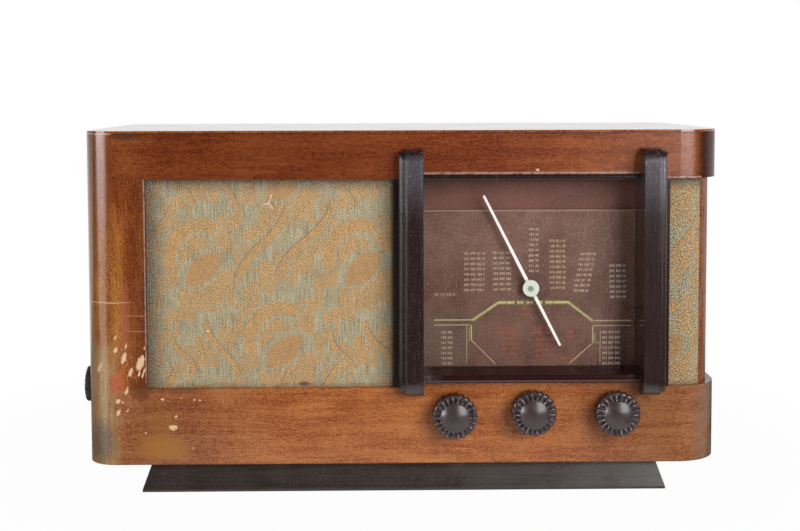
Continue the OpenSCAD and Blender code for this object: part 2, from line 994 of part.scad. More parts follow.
module pointer() {
    boss_r = shaft_r + 1.2;
    boss_l = pointer_gap - 1.2;
    front_web = 0.8;
    color(cream)
    difference() {
        union() {
            translate([hub_x, 0, hub_z])
                rotate([0, -pointer_lean, 0])
                    along_y(pointer_y - pointer_t / 4, pointer_y + pointer_t / 4)
                        pointer_profile();
            turned_y(hub_x, pointer_y - pointer_t / 2, hub_z)
                cylinder(r = pointer_disc_r, h = pointer_t);
            turned_y(hub_x, pointer_y, hub_z)
                cylinder(r = boss_r, h = boss_l);
        }
        turned_y(hub_x, pointer_y - pointer_t / 2 + front_web, hub_z)
            cylinder(r = shaft_r + fit, h = boss_l + pointer_t);
        turned_y(hub_x, pointer_y - pointer_t - past, hub_z)
            cylinder(r = 1.1, h = pointer_t + 2 * past);
    }
}

module pointer_screw() {
    head_h = 1.2;
    slot_w = 0.7;
    face_y = pointer_y - pointer_t / 2;
    color(brass)
    difference() {
        union() {
            turned_front(hub_x, face_y, hub_z)
                cylinder(r = 2.4, h = head_h);
            turned_y(hub_x, face_y - past / 2, hub_z)
                cylinder(r = 1, h = 6);
        }
        translate([hub_x, 0, hub_z])
            rotate([0, 35, 0])
                box([-3, face_y - head_h - past, -slot_w / 2], [3, face_y - head_h / 2, slot_w / 2]);
    }
}

// The drum's web, its peg for the spring, and the slot where the cord's ends come through
shaft_y0 = pointer_y - pointer_t / 2 + 0.8 + fit;
slot_angle = 90 + pointer_lean;
web_y = 2.6;
peg_at = drum_cord_r - 24;
peg_r = 1;

// The drum's section: hub, web and a rim with a groove for the cord
module drum_section() {
    rim_r = drum_cord_r + 1.8;
    groove_r = drum_cord_r - cord_d / 2 - loose;
    web_t = 1.6;
    groove_half = cord_d / 2 + loose;
    mid = drum_rim_w / 2;
    hub_l = drum_rim_w + 3;
    polygon([
        [shaft_r + run, 0], [7, 0], [7, web_y], [groove_r - 2.5, web_y], [groove_r - 2.5, 0],
        [rim_r, 0], [rim_r, mid - groove_half * 2], [groove_r, mid - groove_half],
        [groove_r, mid + groove_half], [rim_r, mid + groove_half * 2], [rim_r, drum_rim_w],
        [groove_r - 2.5, drum_rim_w], [groove_r - 2.5, web_y + web_t], [7, web_y + web_t],
        [7, hub_l], [shaft_r + run, hub_l],
    ]);
}

module drive_drum() {
    color(alloy)
    union() {
        difference() {
            turned_y(hub_x, drum_y, hub_z)
                rotate_extrude()
                    drum_section();
            for (a = [60, 180, 300])
                translate([hub_x, 0, hub_z])
                    rotate([0, -slot_angle - a, 0])
                        turned_y(drum_cord_r * 0.56, drum_y - past, 0)
                            cylinder(r = drum_cord_r * 0.2, h = drum_rim_w + 2 * past);
            translate([hub_x, 0, hub_z])
                rotate([0, -slot_angle, 0])
                    box(
                        [drum_cord_r - 5, drum_y - past, -1.5],
                        [drum_cord_r + 3, drum_y + drum_rim_w / 2 + 1, 1.5]
                    );
        }
        translate([hub_x, 0, hub_z])
            rotate([0, -slot_angle, 0])
                turned_y(peg_at, drum_y + 0.2, 0)
                    cylinder(r = peg_r, h = web_y);
    }
}

// Points of the spring from its hook at the peg to its end between the cord's ends, along X
spring_y = drum_y + web_y - spring_r - spring_wire / 2 - fit;
spring_x0 = peg_at + peg_r + 2;
spring_x1 = spring_x0 + spring_len;
spring_points = concat(
    [[peg_at + peg_r + run, 0, 0], [spring_x0 - 0.9, 0, 0]],
    [for (i = [0 : spring_curls * 8])
        let (a = i * 45, s = i / (spring_curls * 8))
        [spring_x0 + s * spring_len, spring_r * sin(a), -spring_r * cos(a)]],
    [
        [spring_x1 + 0.9, 0, 0], [drum_cord_r - 3, 0, 0],
        [drum_cord_r - 0.1, cord_y - spring_y, 0],
    ]
);
spring_gap = spring_len / spring_curls - spring_wire;
echo(spring_least_gap = spring_gap);

// Sweeps a round section along points; up is a direction that the path never runs along
module sweep(points, r, sides, up) {
    n = len(points);
    rings = [
        for (i = [0 : n - 1])
            let (
                a = points[max(0, i - 1)],
                b = points[min(n - 1, i + 1)],
                t = (b - a) / norm(b - a),
                u = cross(t, up) / norm(cross(t, up)),
                v = cross(t, u)
            )
            for (k = [0 : sides - 1])
                points[i] + r * (cos(k * 360 / sides) * u + sin(k * 360 / sides) * v)
    ];
    faces = concat(
        [[for (k = [0 : sides - 1]) k]],
        [
            for (i = [0 : n - 2], k = [0 : sides - 1])
                let (p = i * sides + k, q = i * sides + (k + 1) % sides)
                [p, p + sides, q + sides]
        ],
        [
            for (i = [0 : n - 2], k = [0 : sides - 1])
                let (p = i * sides + k, q = i * sides + (k + 1) % sides)
                [p, q + sides, q]
        ],
        [[for (k = [sides - 1 : -1 : 0]) (n - 1) * sides + k]]
    );
    polyhedron(rings, faces, convexity = 10);
}

module drum_spring() {
    color(steel)
    translate([hub_x, spring_y, hub_z])
        rotate([0, -slot_angle, 0])
            sweep(spring_points, spring_wire / 2, 6, [0.3, 1, 0.2]);
}

// The cord's way: over the drum, down, round the spindle one and a half times and up again
belt_lean = asin((drum_cord_r - spindle_cord_r) / (hub_z - tuning_z));
belt_gap_angle = asin((spring_wire / 2 + fit) / drum_cord_r);
function drum_point(a) = [
    hub_x + drum_cord_r * cos(a), cord_y, hub_z + drum_cord_r * sin(a),
];
function spindle_point(a, y) = [
    tuning_x + spindle_cord_r * cos(a), y, tuning_z + spindle_cord_r * sin(a),
];
cord_turn = 540 - 2 * belt_lean;
cord_steps = 36;
drum_steps = 16;
cord_points = concat(
    [for (i = [0 : drum_steps])
        drum_point(slot_angle + belt_gap_angle
            + i / drum_steps * (180 + belt_lean - slot_angle - belt_gap_angle))],
    [for (i = [0 : cord_steps])
        spindle_point(180 + belt_lean + i / cord_steps * cord_turn,
            cord_y + cord_step * (i / cord_steps - 0.5) * cord_turn / 360)],
    [for (i = [0 : drum_steps])
        drum_point(-belt_lean + i / drum_steps * (slot_angle - belt_gap_angle + belt_lean))]
);

module drive_cord() {
    color(cream)
    sweep(cord_points, cord_d / 2, 6, [0, 1, 0]);
}

// One moving vane: half a disc and the collar round the shaft
module rotor_vane() {
    intersection() {
        circle(r = vane_r);
        translate([-vane_r, -vane_r])
            square([2 * vane_r, vane_r]);
    }
    circle(r = rotor_collar_r);
}

function section_y(i) = gang_y0 + gang_sheet + i * (gang_room + gang_sheet) + gang_room / 2;

module gang_rotor() {
    mesh_angle = 90 - pointer_lean;
    color(alloy)
    difference() {
        union() {
            turned_y(hub_x, shaft_y0, hub_z)
                cylinder(r = shaft_r, h = gang_y1 + 4 - shaft_y0);
            for (i = [0 : gang_sections - 1]) {
                turned_y(hub_x, section_y(i) - pack_len / 2, hub_z)
                    cylinder(r = rotor_collar_r - 1, h = pack_len);
                for (k = [0 : vane_count - 1])
                    translate([
                        hub_x,
                        section_y(i) + (k - (vane_count - 1) / 2) * vane_pitch,
                        hub_z,
                    ])
                        rotate([0, mesh_angle, 0])
                            along_y(-vane_t / 2, vane_t / 2)
                                rotor_vane();
            }
        }
        turned_y(hub_x, shaft_y0 - past, hub_z)
            cylinder(r = 1 + run, h = 6 + past);
    }
}

// One fixed plate: the lower half ring with ears for the rods
module stator_plate() {
    difference() {
        union() {
            circle(r = stator_r);
            translate([-stator_r - 0.5, -5])
                square([2 * stator_r + 1, 5]);
        }
        circle(r = stator_bore_r);
        translate([-stator_r - past, -1])
            square([2 * stator_r + 2 * past, stator_r * 2]);
    }
}

module gang_stators() {
    color(alloy)
    for (i = [0 : gang_sections - 1])
        union() {
            for (k = [0 : vane_count])
                translate([
                    hub_x, section_y(i) + (k - vane_count / 2) * vane_pitch, hub_z,
                ])
                    along_y(-vane_t / 2, vane_t / 2)
                        stator_plate();
            for (s = [-1, 1])
                turned_y(hub_x + s * stator_rod_x, section_y(i) - gang_room / 2 + fit, hub_z - 3)
                    cylinder(r = stator_rod_r, h = gang_room - 2 * fit);
        }
}

module gang_frame() {
    head = 12;
    color(steel)
    difference() {
        union() {
            for (i = [0 : gang_sections])
                box(
                    [hub_x - gang_w / 2, gang_y0 + i * (gang_room + gang_sheet), gang_base_z],
                    [
                        hub_x + gang_w / 2,
                        gang_y0 + i * (gang_room + gang_sheet) + gang_sheet, hub_z + head,
                    ]
                );
            box(
                [hub_x - gang_w / 2, gang_y0, gang_base_z],
                [hub_x + gang_w / 2, gang_y1, gang_base_z + gang_sheet]
            );
        }
        turned_y(hub_x, gang_y0 - past, hub_z)
            cylinder(r = shaft_r + run, h = gang_len + 2 * past);
    }
}

// The bent bracket that lifts the tuning condenser off the chassis
module gang_pedestal() {
    foot = 9;
    half = gang_w / 2 - 2;
    y0 = chassis_y0 + 4;
    y1 = gang_y1 - 4;
    color(steel)
    along_y(y0, y1) {
        translate([hub_x - half, gang_base_z - gang_sheet])
            square([2 * half, gang_sheet]);
        for (x = [hub_x - half, hub_x + half - gang_sheet])
            translate([x, deck_z])
                square([gang_sheet, gang_base_z - deck_z]);
        for (x = [hub_x - half - foot, hub_x + half - gang_sheet])
            translate([x, deck_z])
                square([foot + gang_sheet, gang_sheet]);
    }
}

bush_l = 9;

module tuning_bush() {
    color(brass)
    turned_front(tuning_x, wall_y + 3, tuning_z)
        difference() {
            union() {
                cylinder(r = bush_r + 3, h = 3);
                cylinder(r = bush_r, h = bush_l + 3);
            }
            translate([0, 0, -past])
                cylinder(r = spindle_r + run, h = bush_l + 3 + 2 * past);
        }
}

// The tuning spindle, with the groove for the cord between two collars
module tuning_spindle() {
    collar_r = spindle_r + 1.6;
    front_l = wall_y + 8 - knob_y + knob_bore_d - loose;
    bush_front = wall_y - bush_l;
    groove_r = spindle_cord_r - cord_d / 2 - loose;
    groove_half = cord_step * cord_turn / 720 + cord_d / 2 + 0.6;
    color(steel)
    difference() {
        union() {
            turned_front(tuning_x, wall_y + 8, tuning_z)
                cylinder(r = spindle_r, h = front_l);
            turned_front(tuning_x, wall_y + 5.5, tuning_z)
                cylinder(r = collar_r, h = 2);
            turned_front(tuning_x, bush_front - loose, tuning_z)
                cylinder(r = collar_r, h = bush_front - loose - cord_y - groove_half);
        }
        turned_y(tuning_x, cord_y - groove_half, tuning_z)
            tube(spindle_r + past, groove_r, 2 * groove_half);
    }
}

// A spindle on Y from a control to its knob
module plain_spindle(x, z, y_back) {
    turned_front(x, y_back, z)
        cylinder(r = spindle_r, h = y_back - knob_y + knob_bore_d - loose);
}

// A carbon control on Z: its can, its bush and three lugs, and its blind hole for the spindle
module control_body(bush_length) {
    lug_w = 3;
    difference() {
        union() {
            translate([0, 0, -control_d])
                cylinder(r = control_r, h = control_d);
            cylinder(r = bush_r, h = bush_length);
            for (a = [-25, 0, 25])
                rotate([0, 0, a - 90])
                    translate([control_r - 1, -lug_w / 2, -4])
                        cube([6, lug_w, 1]);
        }
        translate([0, 0, -control_d + 3])
            cylinder(r = spindle_r + run, h = control_d + bush_length);
    }
}

module volume_control() {
    color([0.25, 0.20, 0.16])
    turned_front(volume_x, wall_y, volume_z)
        control_body(bush_l);
}

module volume_spindle() {
    color(steel)
    plain_spindle(volume_x, volume_z, wall_y + control_d - 3 - loose);
}

// The wave change switch: an index plate, two wafers and the two pillars that carry them
module waveband_switch() {
    plate_t = 1.6;
    pillar_x = wafer_r - 4;
    color([0.45, 0.28, 0.16])
    turned_front(waveband_x, wall_y, waveband_z)
        difference() {
            union() {
                translate([0, 0, -plate_t])
                    cylinder(r = wafer_r - 1, h = plate_t);
                cylinder(r = bush_r, h = bush_l);
                for (k = [1, 2])
                    translate([0, 0, -k * wafer_step - plate_t])
                        cylinder(r = wafer_r, h = plate_t);
                for (s = [-1, 1])
                    translate([s * pillar_x, 0, -2 * wafer_step - plate_t - 2])
                        cylinder(r = 1.8, h = 2 * wafer_step + plate_t + 2);
            }
            translate([0, 0, -3 * wafer_step])
                cylinder(r = spindle_r + run, h = 3 * wafer_step + bush_l + past);
        }
}

module waveband_spindle() {
    color(steel)
    plain_spindle(waveband_x, waveband_z, wall_y + 2 * wafer_step + 6);
}

// The side control's axis: Z points out of the cabinet from the left board's inner face
module side_control_axis() {
    translate([left_x + board_t, front_y + side_knob_back, cab_z + side_knob_up])
        rotate([0, -90, 0])
            children();
}

module tone_control() {
    color([0.25, 0.20, 0.16])
    side_control_axis()
        control_body(board_t - 1);
}

module tone_spindle() {
    hole_end = -control_d + 3 + loose;
    color(steel)
    side_control_axis()
        translate([0, 0, hole_end])
            cylinder(r = spindle_r, h = board_t + knob_gap + side_knob_h - 5 - loose - hole_end);
}

module control_nuts() {
    color(brass) {
        for (p = [[volume_x, volume_z], [tuning_x, tuning_z], [waveband_x, waveband_z]])
            turned_front(p[0], chassis_y0, p[1])
                hex_nut(control_nut_w, bush_r + run, nut_h);
        side_control_axis()
            translate([0, 0, board_t - nut_h])
                hex_nut(control_nut_w, bush_r + run, nut_h);
    }
}

// The star of ribs on a knob's skirt, from inside the dome to the edge
module rib_star(count, inner_r, outer_r, outer_w, inner_w) {
    for (i = [0 : count - 1])
        rotate(i * 360 / count)
            polygon([
                [inner_r, -inner_w / 2], [outer_r, -outer_w / 2],
                [outer_r, outer_w / 2], [inner_r, inner_w / 2],
            ]);
}

// A front knob on Z: a smooth dome over a ribbed skirt
module knob() {
    rim_h = 1.6;
    rib_up = 1.1;
    core_r = knob_r - 1.2;
    cap_r = knob_dome_r * 1.35;
    cap_z = knob_h - cap_r;
    difference() {
        union() {
            cylinder(r = core_r, h = rim_h);
            translate([0, 0, rim_h])
                cylinder(r1 = core_r, r2 = knob_dome_r - 0.6, h = knob_skirt_h - rim_h);
            intersection() {
                union() {
                    cylinder(r = knob_r, h = rim_h + rib_up);
                    translate([0, 0, rim_h + rib_up])
                        cylinder(r1 = knob_r, r2 = knob_dome_r - 0.4, h = knob_skirt_h - rim_h);
                }
                linear_extrude(knob_skirt_h + rib_up)
                    rib_star(knob_ribs, knob_dome_r - 2, knob_r + 1, rib_w, rib_w * 0.62);
            }
            intersection() {
                cylinder(r = knob_dome_r, h = knob_h);
                translate([0, 0, cap_z])
                    sphere(r = cap_r);
            }
        }
        translate([0, 0, -past])
            cylinder(r = spindle_r + fit, h = knob_bore_d + past);
        translate([0, 0, -past])
            tube(core_r - 3, spindle_r + 4, 3 + past);
    }
}

module tuning_knob() {
    color(bakelite)
    turned_front(tuning_x, knob_y, tuning_z)
        knob();
}

module volume_knob() {
    color(bakelite)
    turned_front(volume_x, knob_y, volume_z)
        knob();
}

module waveband_knob() {
    color(bakelite)
    turned_front(waveband_x, knob_y, waveband_z)
        knob();
}

// The side knob: a ribbed drum with a slightly domed face
module tone_knob() {
    ribs = 24;
    edge = 2;
    face_r = side_knob_r * 2.6;
    color(bakelite)
    side_control_axis()
        translate([0, 0, board_t + knob_gap])
            difference() {
                union() {
                    intersection() {
                        cylinder(r = side_knob_r - 1, h = side_knob_h);
                        translate([0, 0, side_knob_h - face_r])
                            sphere(r = face_r);
                    }
                    intersection() {
                        cylinder(r = side_knob_r, h = side_knob_h - edge);
                        linear_extrude(side_knob_h - edge)
                            rib_star(ribs, side_knob_r - 3, side_knob_r + 1, 2.2, 1.8);
                    }
                }
                translate([0, 0, -past])
                    cylinder(r = spindle_r + fit, h = side_knob_h - 5 + past);
            }
}

module chassis() {
    color(steel)
    difference() {
        union() {
            difference() {
                box([chassis_x, chassis_y0, chassis_z], [chassis_x1, chassis_y1, deck_z]);
                box(
                    [chassis_x + sheet_t, wall_y, chassis_z - past],
                    [chassis_x1 - sheet_t, chassis_y1 - sheet_t, deck_z - sheet_t]
                );
            }
            for (y = [chassis_y0, chassis_y1 - flange_w])
                box([chassis_x, y, chassis_z], [chassis_x1, y + flange_w, chassis_z + sheet_t]);
        }
        for (p = [[volume_x, volume_z], [tuning_x, tuning_z], [waveband_x, waveband_z]])
            turned_y(p[0], chassis_y0 - past, p[1])
                cylinder(r = bush_r + fit, h = sheet_t + 2 * past);
        for (p = valve_places)
            translate([chassis_x + p[0], chassis_y1 - p[1], deck_z - sheet_t - past])
                cylinder(r = valve_spigot_r + fit, h = sheet_t + 2 * past);
        for (x = bolt_xs, y = bolt_ys)
            translate([x, y, chassis_z - past])
                cylinder(r = bolt_r + loose, h = sheet_t + 2 * past);
        for (p = socket_places())
            turned_y(p[0], chassis_y1 - sheet_t - past, p[1])
                cylinder(r = socket_tube_r + 1, h = sheet_t + 2 * past);
        turned_y(grommet_x, chassis_y1 - sheet_t - past, grommet_z)
            cylinder(r = grommet_neck_r + fit, h = sheet_t + 2 * past);
    }
}

// A bolt on Z: its head from 0 up, its shank to the top of its nut and a little past it
module machine_bolt(grip) {
    cylinder(r = bolt_head_r, h = bolt_head_h);
    cylinder(r = bolt_r, h = bolt_head_h + grip + nut_h + 2);
    translate([0, 0, bolt_head_h + grip])
        hex_nut(bolt_r * 3.2, bolt_r - 0.2, nut_h);
}

module machine_bolts() {
    color(steel) {
        for (x = bolt_xs, y = bolt_ys)
            translate([x, y, cab_z - bolt_head_h])
                machine_bolt(chassis_z + sheet_t - cab_z);
        for (a = speaker_bolt_angles)
            turned_y(
                speaker_x + speaker_bolt_ring * cos(a), cloth_y,
                speaker_z + speaker_bolt_ring * sin(a)
            )
                machine_bolt(baffle_t + rim_t - bolt_head_h);
    }
}

module chassis_feet() {
    color([0.12, 0.12, 0.12])
    for (x = bolt_xs, y = bolt_ys)
        translate([x, y, floor_z])
            tube(foot_r, bolt_r + loose, foot_h);
}

// A transformer on Z: a laminated core round two windows and the winding through them
module transformer(core_w, core_h, stack) {
    limb = core_w / 6;
    window_w = core_w / 2 - limb * 1.5 - limb / 2;
    coil_d = stack + 2 * window_w - 2;
    coil_h = core_h - 2 * limb - 2 * fit;
    difference() {
        translate([-core_w / 2, -stack / 2, 0])
            cube([core_w, stack, core_h]);
        for (s = [-1, 1])
            translate([s * (limb + window_w / 2) - window_w / 2, -stack, limb])
                cube([window_w, 2 * stack, core_h - 2 * limb]);
    }
    difference() {
        translate([-limb - window_w + fit, -coil_d / 2, limb + fit])
            cube([2 * (limb + window_w - fit), coil_d, coil_h]);
        translate([-limb - fit, -stack / 2 - fit, limb - past])
            cube([2 * (limb + fit), stack + 2 * fit, core_h]);
    }
}

module mains_transformer() {
    color([0.30, 0.30, 0.32])
    translate([chassis_x + mains_place[0], chassis_y1 - mains_place[1], deck_z])
        transformer(mains_core_w, mains_core_h, mains_stack);
}

module output_transformer() {
    color([0.30, 0.30, 0.32])
    translate([chassis_x + output_place[0], chassis_y0 + output_place[1], deck_z])
        transformer(output_core_w, output_core_h, output_stack);
}

module smoothing_capacitor() {
    ring_h = 4;
    color(alloy)
    translate([chassis_x + smoothing_place[0], chassis_y1 - smoothing_place[1], deck_z]) {
        cylinder(r = smoothing_r + 2.5, h = ring_h);
        difference() {
            translate([0, 0, ring_h])
                cylinder(r = smoothing_r, h = smoothing_h - ring_h);
            translate([0, 0, smoothing_h - 8])
                tube(smoothing_r + past, smoothing_r - 1.2, 3);
        }
    }
}

valve_holder_h = 4;
valve_spigot_r = valve_base_r - 2;

// The holder on the deck and the valve's base in it
module valve_holders() {
    color(bakelite)
    for (p = valve_places)
        translate([chassis_x + p[0], chassis_y1 - p[1], deck_z]) {
            cylinder(r = valve_base_r + 3, h = valve_holder_h);
            translate([0, 0, -8])
                cylinder(r = valve_spigot_r, h = 8 + past);
            translate([0, 0, valve_holder_h])
                difference() {
                    cylinder(r = valve_base_r, h = valve_base_h);
                    translate([0, 0, valve_base_h - 3])
                        cylinder(r = valve_base_r - 1.5, h = 3 + past);
                }
        }
}

// A valve's glass from the side: a narrow foot, a full shoulder and a round top with its cap
module valve_section() {
    foot_r = valve_base_r - 1.5 - fit;
    top_r = valve_r * 0.62;
    shoulder_z = valve_h * 0.3;
    upper_z = valve_h * 0.66;
    polygon([
        [0, 0], [foot_r, 0], [foot_r, 4], [valve_r, shoulder_z], [valve_r, upper_z - 6],
        [top_r, upper_z + 4], [top_r, valve_h - top_r], [0, valve_h - top_r],
    ]);
    intersection() {
        translate([0, valve_h - top_r])
            circle(r = top_r);
        translate([0, valve_h - top_r])
            square(top_r);
    }
    translate([0, valve_h - 1])
        square([4.5, 7]);
}

module valves() {
    color([0.75, 0.78, 0.76])
    for (p = valve_places)
        translate([
            chassis_x + p[0], chassis_y1 - p[1], deck_z + valve_holder_h + valve_base_h - 3 + fit,
        ])
            rotate_extrude()
                valve_section();
}

module coil_cans() {
    can_r = 4;
    half = can_w / 2 - can_r;
    color(alloy)
    for (p = can_places)
        translate([chassis_x + p[0], chassis_y0 + p[1], deck_z]) {
            linear_extrude(can_h) {
                square([can_w, 2 * half], center = true);
                square([2 * half, can_w], center = true);
                for (sx = [-1, 1], sy = [-1, 1])
                    translate([sx * half, sy * half])
                        circle(r = can_r);
            }
            translate([0, 0, can_h])
                hex_nut(8, 2, 3);
        }
}

socket_tube_r = socket_r + 1.5;
socket_step = 19;
strip_lap = 11;
function socket_places() = [
    for (x = socket_xs, s = [-1, 1]) [chassis_x + x + s * socket_step / 2, socket_z]
];

// The plug sockets for aerial, earth and gramophone: strips with brass tubes through them
module socket_strips() {
    strip_t = 2;
    strip_half_w = socket_step / 2 + strip_lap;
    strip_half_h = 9;
    color(board_brown) {
        for (x = socket_xs)
            difference() {
                box(
                    [chassis_x + x - strip_half_w, chassis_y1, socket_z - strip_half_h],
                    [chassis_x + x + strip_half_w, chassis_y1 + strip_t, socket_z + strip_half_h]
                );
                for (s = [-1, 1])
                    turned_y(chassis_x + x + s * socket_step / 2, chassis_y1 - past, socket_z)
                        cylinder(r = socket_tube_r + fit, h = strip_t + 2 * past);
            }
        for (p = socket_places())
            turned_y(p[0], chassis_y1 - 8, p[1])
                tube(socket_tube_r, socket_r, 8 + strip_t + 1);
    }
}

grommet_neck_r = cord_hole_r + 2;

module mains_grommet() {
    lip_r = grommet_neck_r + 2.5;
    lip_h = 2.5;
    color([0.12, 0.12, 0.12])
    turned_y(grommet_x, chassis_y1 - sheet_t - lip_h, grommet_z)
        rotate_extrude()
            polygon([
                [cord_hole_r, 0], [lip_r - 1, 0], [lip_r, 1], [lip_r, lip_h],
                [grommet_neck_r, lip_h], [grommet_neck_r, lip_h + sheet_t],
                [lip_r, lip_h + sheet_t], [lip_r, 2 * lip_h + sheet_t - 1],
                [lip_r - 1, 2 * lip_h + sheet_t], [cord_hole_r, 2 * lip_h + sheet_t],
            ]);
}

// Holes for the loudspeaker's four bolts through the baffle and the rim, with sunk heads
module speaker_bolt_holes() {
    for (a = speaker_bolt_angles)
        turned_y(
            speaker_x + speaker_bolt_ring * cos(a), cloth_y - past,
            speaker_z + speaker_bolt_ring * sin(a)
        ) {
            cylinder(r = bolt_r + loose, h = baffle_t + rim_t + 2 * past);
            cylinder(r = bolt_head_r + loose, h = bolt_head_h + past);
        }
}

// The pressed frame: a flat rim, a sloping basket with six windows and the ring at the magnet
module speaker_frame() {
    window_half = 21;
    color(steel)
    difference() {
        turned_y(speaker_x, baffle_y, speaker_z)
            rotate_extrude()
                polygon([
                    [speaker_hole_r + 0.5, 0], [speaker_r, 0], [speaker_r, rim_t],
                    [speaker_hole_r + 5, rim_t], [back_ring_r + frame_t, speaker_d],
                    [cone_neck_r + 4, speaker_d], [cone_neck_r + 4, speaker_d - frame_t],
                    [back_ring_r, speaker_d - frame_t], [speaker_hole_r + 3, rim_t],
                    [speaker_hole_r + 0.5, rim_t],
                ]);
        for (a = [0 : 60 : 300])
            translate([speaker_x, baffle_y + rim_t + 8, speaker_z])
                rotate([0, -a, 0])
                    along_y(0, speaker_d - rim_t - 16)
                        polygon([
                            [20 * cos(window_half), -20 * sin(window_half)],
                            [speaker_r * cos(window_half), -speaker_r * sin(window_half)],
                            [speaker_r * cos(window_half), speaker_r * sin(window_half)],
                            [20 * cos(window_half), 20 * sin(window_half)],
                        ]);
        speaker_bolt_holes();
    }
}

// The paper cone with its rolled surround and its dust cap
module speaker_cone() {
    edge_r = speaker_hole_r + 0.4;
    body_r = edge_r - 9;
    neck_d = speaker_d - 10;
    color([0.16, 0.15, 0.14])
    turned_y(speaker_x, baffle_y, speaker_z)
        rotate_extrude() {
            translate([cone_neck_r - 0.6, neck_d])
                square([0.8, speaker_d + 3 - neck_d]);
            polygon([
                [cone_neck_r, neck_d], [body_r, 3], [edge_r - 5, 1.2], [edge_r, 1.2],
                [edge_r, 1.2 + cone_t], [edge_r - 5, 1.2 + cone_t],
                [body_r, 3 + cone_t * 1.4], [cone_neck_r, neck_d + cone_t * 1.6],
            ]);
            polygon([
                [0, neck_d - 4], [cone_neck_r * 0.6, neck_d - 3], [cone_neck_r + 0.5, neck_d - 0.2],
                [cone_neck_r + 0.5, neck_d + 0.8], [cone_neck_r * 0.6, neck_d - 2], [0, neck_d - 3],
            ]);
        }
}

module speaker_magnet() {
    plate_t = 6;
    front = baffle_y + speaker_d;
    color([0.20, 0.22, 0.26])
    turned_y(speaker_x, front, speaker_z) {
        difference() {
            union() {
                cylinder(r = back_ring_r, h = plate_t);
                translate([0, 0, plate_t])
                    cylinder(r = magnet_r, h = magnet_l - 2 * plate_t);
                translate([0, 0, magnet_l - plate_t])
                    cylinder(r = back_ring_r, h = plate_t);
            }
            translate([0, 0, -past])
                tube(cone_neck_r + 0.9, cone_neck_r - 1.2, plate_t + 10);
        }
    }
}

plinth();
bottom_panel();
left_side();
right_side();
top_panel();
top_band();
bottom_band();
left_stile();
mullions();
left_fin_bar();
right_fin_bar();
dial_top_rail();
dial_sill();
speaker_baffle();
corner_baffle();
speaker_cloth();
corner_cloth();
cover_cleats();
rear_cover();
wood_screws();
dial_backing();
scale_plate();
lamp_holders();
dial_lamps();
pointer();
pointer_screw();
drive_drum();
drum_spring();
drive_cord();
gang_rotor();
gang_frame();
gang_stators();
gang_pedestal();
tuning_bush();
tuning_spindle();
tuning_knob();
volume_control();
volume_spindle();
volume_knob();
waveband_switch();
waveband_spindle();
waveband_knob();
tone_control();
tone_spindle();
tone_knob();
control_nuts();
chassis();
machine_bolts();
chassis_feet();
mains_transformer();
output_transformer();
smoothing_capacitor();
valve_holders();
valves();
coil_cans();
socket_strips();
mains_grommet();
speaker_frame();
speaker_cone();
speaker_magnet();
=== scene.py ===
# Looks of the table radio receiver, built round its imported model.
# Metres, +Z up, and the front faces -Y. Materials and sizes named in millimetres say so.
import math

import bmesh
import bpy
from mathutils import Matrix, Vector


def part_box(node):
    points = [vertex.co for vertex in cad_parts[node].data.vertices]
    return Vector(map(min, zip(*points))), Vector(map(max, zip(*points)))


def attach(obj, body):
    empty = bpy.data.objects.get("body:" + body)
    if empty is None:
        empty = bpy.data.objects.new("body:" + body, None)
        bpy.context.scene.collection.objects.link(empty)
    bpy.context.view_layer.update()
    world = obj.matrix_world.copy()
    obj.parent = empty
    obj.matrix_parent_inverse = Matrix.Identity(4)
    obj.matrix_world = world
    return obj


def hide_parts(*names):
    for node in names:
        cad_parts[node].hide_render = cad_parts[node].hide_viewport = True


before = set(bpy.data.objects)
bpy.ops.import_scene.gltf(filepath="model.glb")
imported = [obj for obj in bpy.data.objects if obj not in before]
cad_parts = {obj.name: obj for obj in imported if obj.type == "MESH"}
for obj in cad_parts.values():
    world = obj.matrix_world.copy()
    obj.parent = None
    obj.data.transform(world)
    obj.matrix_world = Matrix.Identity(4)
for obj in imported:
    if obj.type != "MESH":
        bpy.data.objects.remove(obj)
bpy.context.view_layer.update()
MM = 0.001


def shown(name, data):
    """Adds an object with this data to the scene."""
    obj = bpy.data.objects.new(name, data)
    bpy.context.scene.collection.objects.link(obj)
    return obj


# Camera, at the photograph's viewpoint
IMAGE_W = 800
FOCAL_PX = 1338.884
AXIS_ABOVE_MIDDLE_PX = 90
SENSOR_MM = 36
EYE = Vector((-0.0206265, -1.29418, 0.352801))
PITCH_DOWN = math.radians(3.597)
YAW_RIGHT = math.radians(0.852)
ROLL = math.radians(0.157)


def make_camera():
    data = bpy.data.cameras.new("camera")
    data.sensor_width = SENSOR_MM
    data.lens = FOCAL_PX / IMAGE_W * SENSOR_MM
    data.shift_y = -AXIS_ABOVE_MIDDLE_PX / IMAGE_W
    turn = (
        Matrix.Rotation(-YAW_RIGHT, 4, "Z")
        @ Matrix.Rotation(math.pi / 2 - PITCH_DOWN, 4, "X")
        @ Matrix.Rotation(-ROLL, 4, "Z")
    )
    camera = shown("camera", data)
    camera.matrix_world = Matrix.Translation(EYE) @ turn
    bpy.context.scene.camera = camera


# Shader graphs written as formulas
def formula(operation, other_first=False):
    """An operator of Num, which adds one node to its graph."""

    def apply(self, other):
        pair = (other, self) if other_first else (self, other)
        return self.graph.math(operation, *pair)

    return apply


class Num:
    """A number of a shader graph that takes part in sums."""

    def __init__(self, graph, socket):
        self.graph = graph
        self.socket = socket

    __add__ = __radd__ = formula("ADD")
    __sub__ = formula("SUBTRACT")
    __rsub__ = formula("SUBTRACT", other_first=True)
    __mul__ = __rmul__ = formula("MULTIPLY")
    __truediv__ = formula("DIVIDE")


